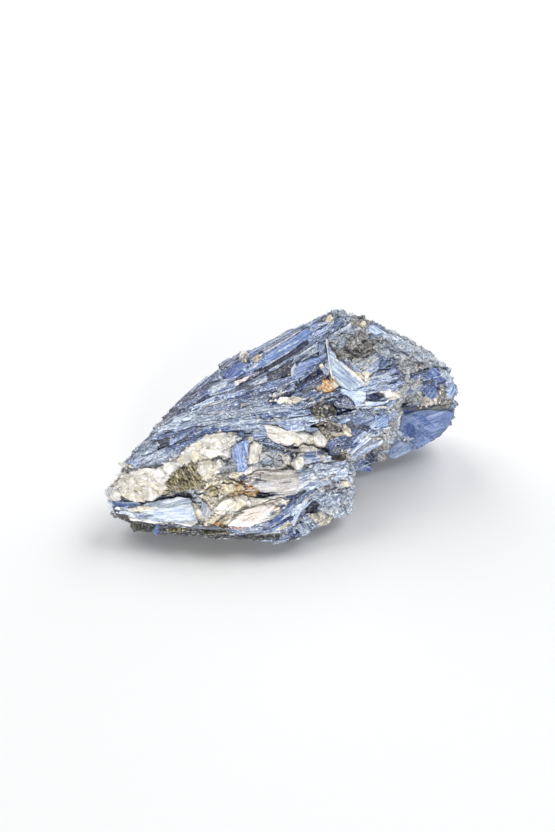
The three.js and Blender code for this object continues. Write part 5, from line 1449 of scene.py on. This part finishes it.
FINISH = {
    "kyanite": stone_finish("bladed_kyanite", streak=(0.16, 0.95), rough=(0.22, 0.45), bumpy=0.6, frost=0.85,
                            shade=(0.4, 0.49, 0.68), seams=0.4, specks_and_glints=0.8),
    "plate": stone_finish("smooth_kyanite", streak=(0.1, 0.9), rough=(0.18, 0.35), bumpy=0.35, frost=0.65,
                          shade=(0.6, 0.68, 0.82), seams=0.15, specks_and_glints=0.35),
    "face": stone_finish("cleavage_face", streak=(0.1, 0.3), rough=(0.12, 0.3), bumpy=0.35, frost=0.45,
                         shade=(0.6, 0.66, 0.76), seams=0.0, specks_and_glints=0.15),
    "crumb": stone_finish("crumbly_matrix", streak=(0.16, 0.95), rough=(0.4, 0.65), bumpy=0.7, frost=0.7,
                          shade=(0.6, 0.6, 0.63), seams=0.3, specks_and_glints=0.85),
    "quartz": stone_finish("milky_quartz", streak=(0.3, 0.5), rough=(0.15, 0.35), bumpy=0.6, frost=0.8,
                           shade=(0.86, 0.84, 0.8), seams=0.1, specks_and_glints=0.3, clear=0.4),
    "crust": stone_finish("light_crust", streak=(0.16, 0.95), rough=(0.4, 0.65), bumpy=0.6, frost=0.7,
                          shade=(0.86, 0.78, 0.66), seams=0.15, specks_and_glints=0.55),
    "layered": stone_finish("layered_crust", streak=(0.12, 1.0), rough=(0.4, 0.65), bumpy=0.6, frost=0.6,
                            shade=(0.86, 0.8, 0.74), seams=0.15, specks_and_glints=0.4),
    "mica": stone_finish("olive_mica", streak=(0.3, 1.5), rough=(0.25, 0.4), bumpy=0.3, frost=0.3,
                         shade=(0.45, 0.42, 0.34), seams=0.4, specks_and_glints=0.4),
    "body": stone_finish("stone_body", streak=(0.15, 0.9), rough=(0.35, 0.6), bumpy=0.8, frost=0.75,
                         shade=(0.46, 0.52, 0.66), seams=0.5, specks_and_glints=0.8),
}

skin_mesh = stone_copy(SKIN_SQUARE, FEW_ROUNDS)
skin_points, skin_normals, _ = arrays_of(skin_mesh)
skin_faces = [tuple(polygon.vertices) for polygon in skin_mesh.polygons]
skin_points, skin_values = body_of_stone(skin_points, skin_normals)
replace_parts(put_mesh("stone_body", skin_points, skin_faces, skin_values, FINISH["body"]), NODE)
seeds = seed_places(seed=21)
grow_blades("kyanite_blades", "blade", lengths=(2.0, 20.0), widths=(0.4, 3.4), thicknesses=(0.35, 0.8),
            seeds=seeds, seed=31)
grow_blades("layered_blades", "layer", lengths=(3.0, 16.0), widths=(0.4, 1.8), thicknesses=(0.25, 0.5),
            seeds=seeds, seed=33)
grow_grains("matrix_crumbs", "crumb", sizes=(0.6, 2.6, 2.2), seeds=seeds, seed=35, square=0.8, sink=0.25,
            even=6.0)
grow_grains("crust_grains", "crust", sizes=(0.7, 2.6, 2.0), seeds=seeds, seed=39, square=0.8, sink=0.25,
            even=6.0)
grow_grains("quartz_grains", "quartz", sizes=(2.0, 6.6, 1.3), seeds=seeds, seed=37, square=0.85, sink=0.3,
            even=1.3)
mica_book()
place_crystals()


# Floor, light and camera

FLOOR_REACH = 3.0
FLOOR_COLOUR = (0.84, 0.845, 0.85, 1.0)
FLOOR_ROUGHNESS, FLOOR_SPECULAR = 0.8, 0.1
DAYLIGHT_COLOUR = (0.97, 0.985, 1.0, 1.0)
NEAREST_SEEN = 0.01


def floor():
    """A wide pale floor that the stone lies on."""
    mesh = bpy.data.meshes.new("floor")
    corners = [(x * FLOOR_REACH, y * FLOOR_REACH, 0) for x, y in ((-1, -1), (1, -1), (1, 1), (-1, 1))]
    mesh.from_pydata(corners, [], [(0, 1, 2, 3)])
    material = bpy.data.materials.new("pale_floor")
    material.use_nodes = True
    shader = material.node_tree.nodes["Principled BSDF"]
    shader.inputs["Base Color"].default_value = FLOOR_COLOUR
    shader.inputs["Roughness"].default_value = FLOOR_ROUGHNESS
    shader.inputs["Specular IOR Level"].default_value = FLOOR_SPECULAR
    mesh.materials.append(material)
    obj = bpy.data.objects.new("floor", mesh)
    bpy.context.scene.collection.objects.link(obj)


def area_light(name, place, aim, size, watts):
    """A square soft light at a place in metres, turned to what it lights."""
    data = bpy.data.lights.new(name, "AREA")
    data.size = size
    data.energy = watts
    obj = bpy.data.objects.new(name, data)
    obj.location = place
    obj.rotation_euler = (Vector(aim) - Vector(place)).to_track_quat("-Z", "Y").to_euler()
    bpy.context.scene.collection.objects.link(obj)


def camera():
    """The photograph's camera."""
    data = bpy.data.cameras.new("camera")
    data.sensor_width = SENSOR
    data.lens = FOCAL_PIXELS * SENSOR / PHOTO_HIGH
    data.clip_start = NEAREST_SEEN
    obj = bpy.data.objects.new("camera", data)
    obj.location = EYE * MM
    obj.rotation_euler = (math.pi / 2 - CAMERA_DOWN, 0, 0)
    bpy.context.scene.collection.objects.link(obj)
    bpy.context.scene.camera = obj


def daylight(strength):
    """Even, faintly blue light from all round."""
    world = bpy.data.worlds.new("daylight")
    world.use_nodes = True
    background = world.node_tree.nodes["Background"]
    background.inputs["Strength"].default_value = strength
    background.inputs["Color"].default_value = DAYLIGHT_COLOUR
    bpy.context.scene.world = world


STONE_MIDDLE = (0, 0, 0.02)

floor()
area_light("window_left", (-0.55, 0.55, 0.65), STONE_MIDDLE, size=0.9, watts=8.9)
area_light("window_right", (0.55, 0.55, 0.65), STONE_MIDDLE, size=0.9, watts=11.5)
area_light("front_fill", (0.0, -0.9, 0.15), STONE_MIDDLE, size=0.28, watts=9.2)
daylight(0.03)
camera()
bpy.context.scene.view_settings.view_transform = "Standard"
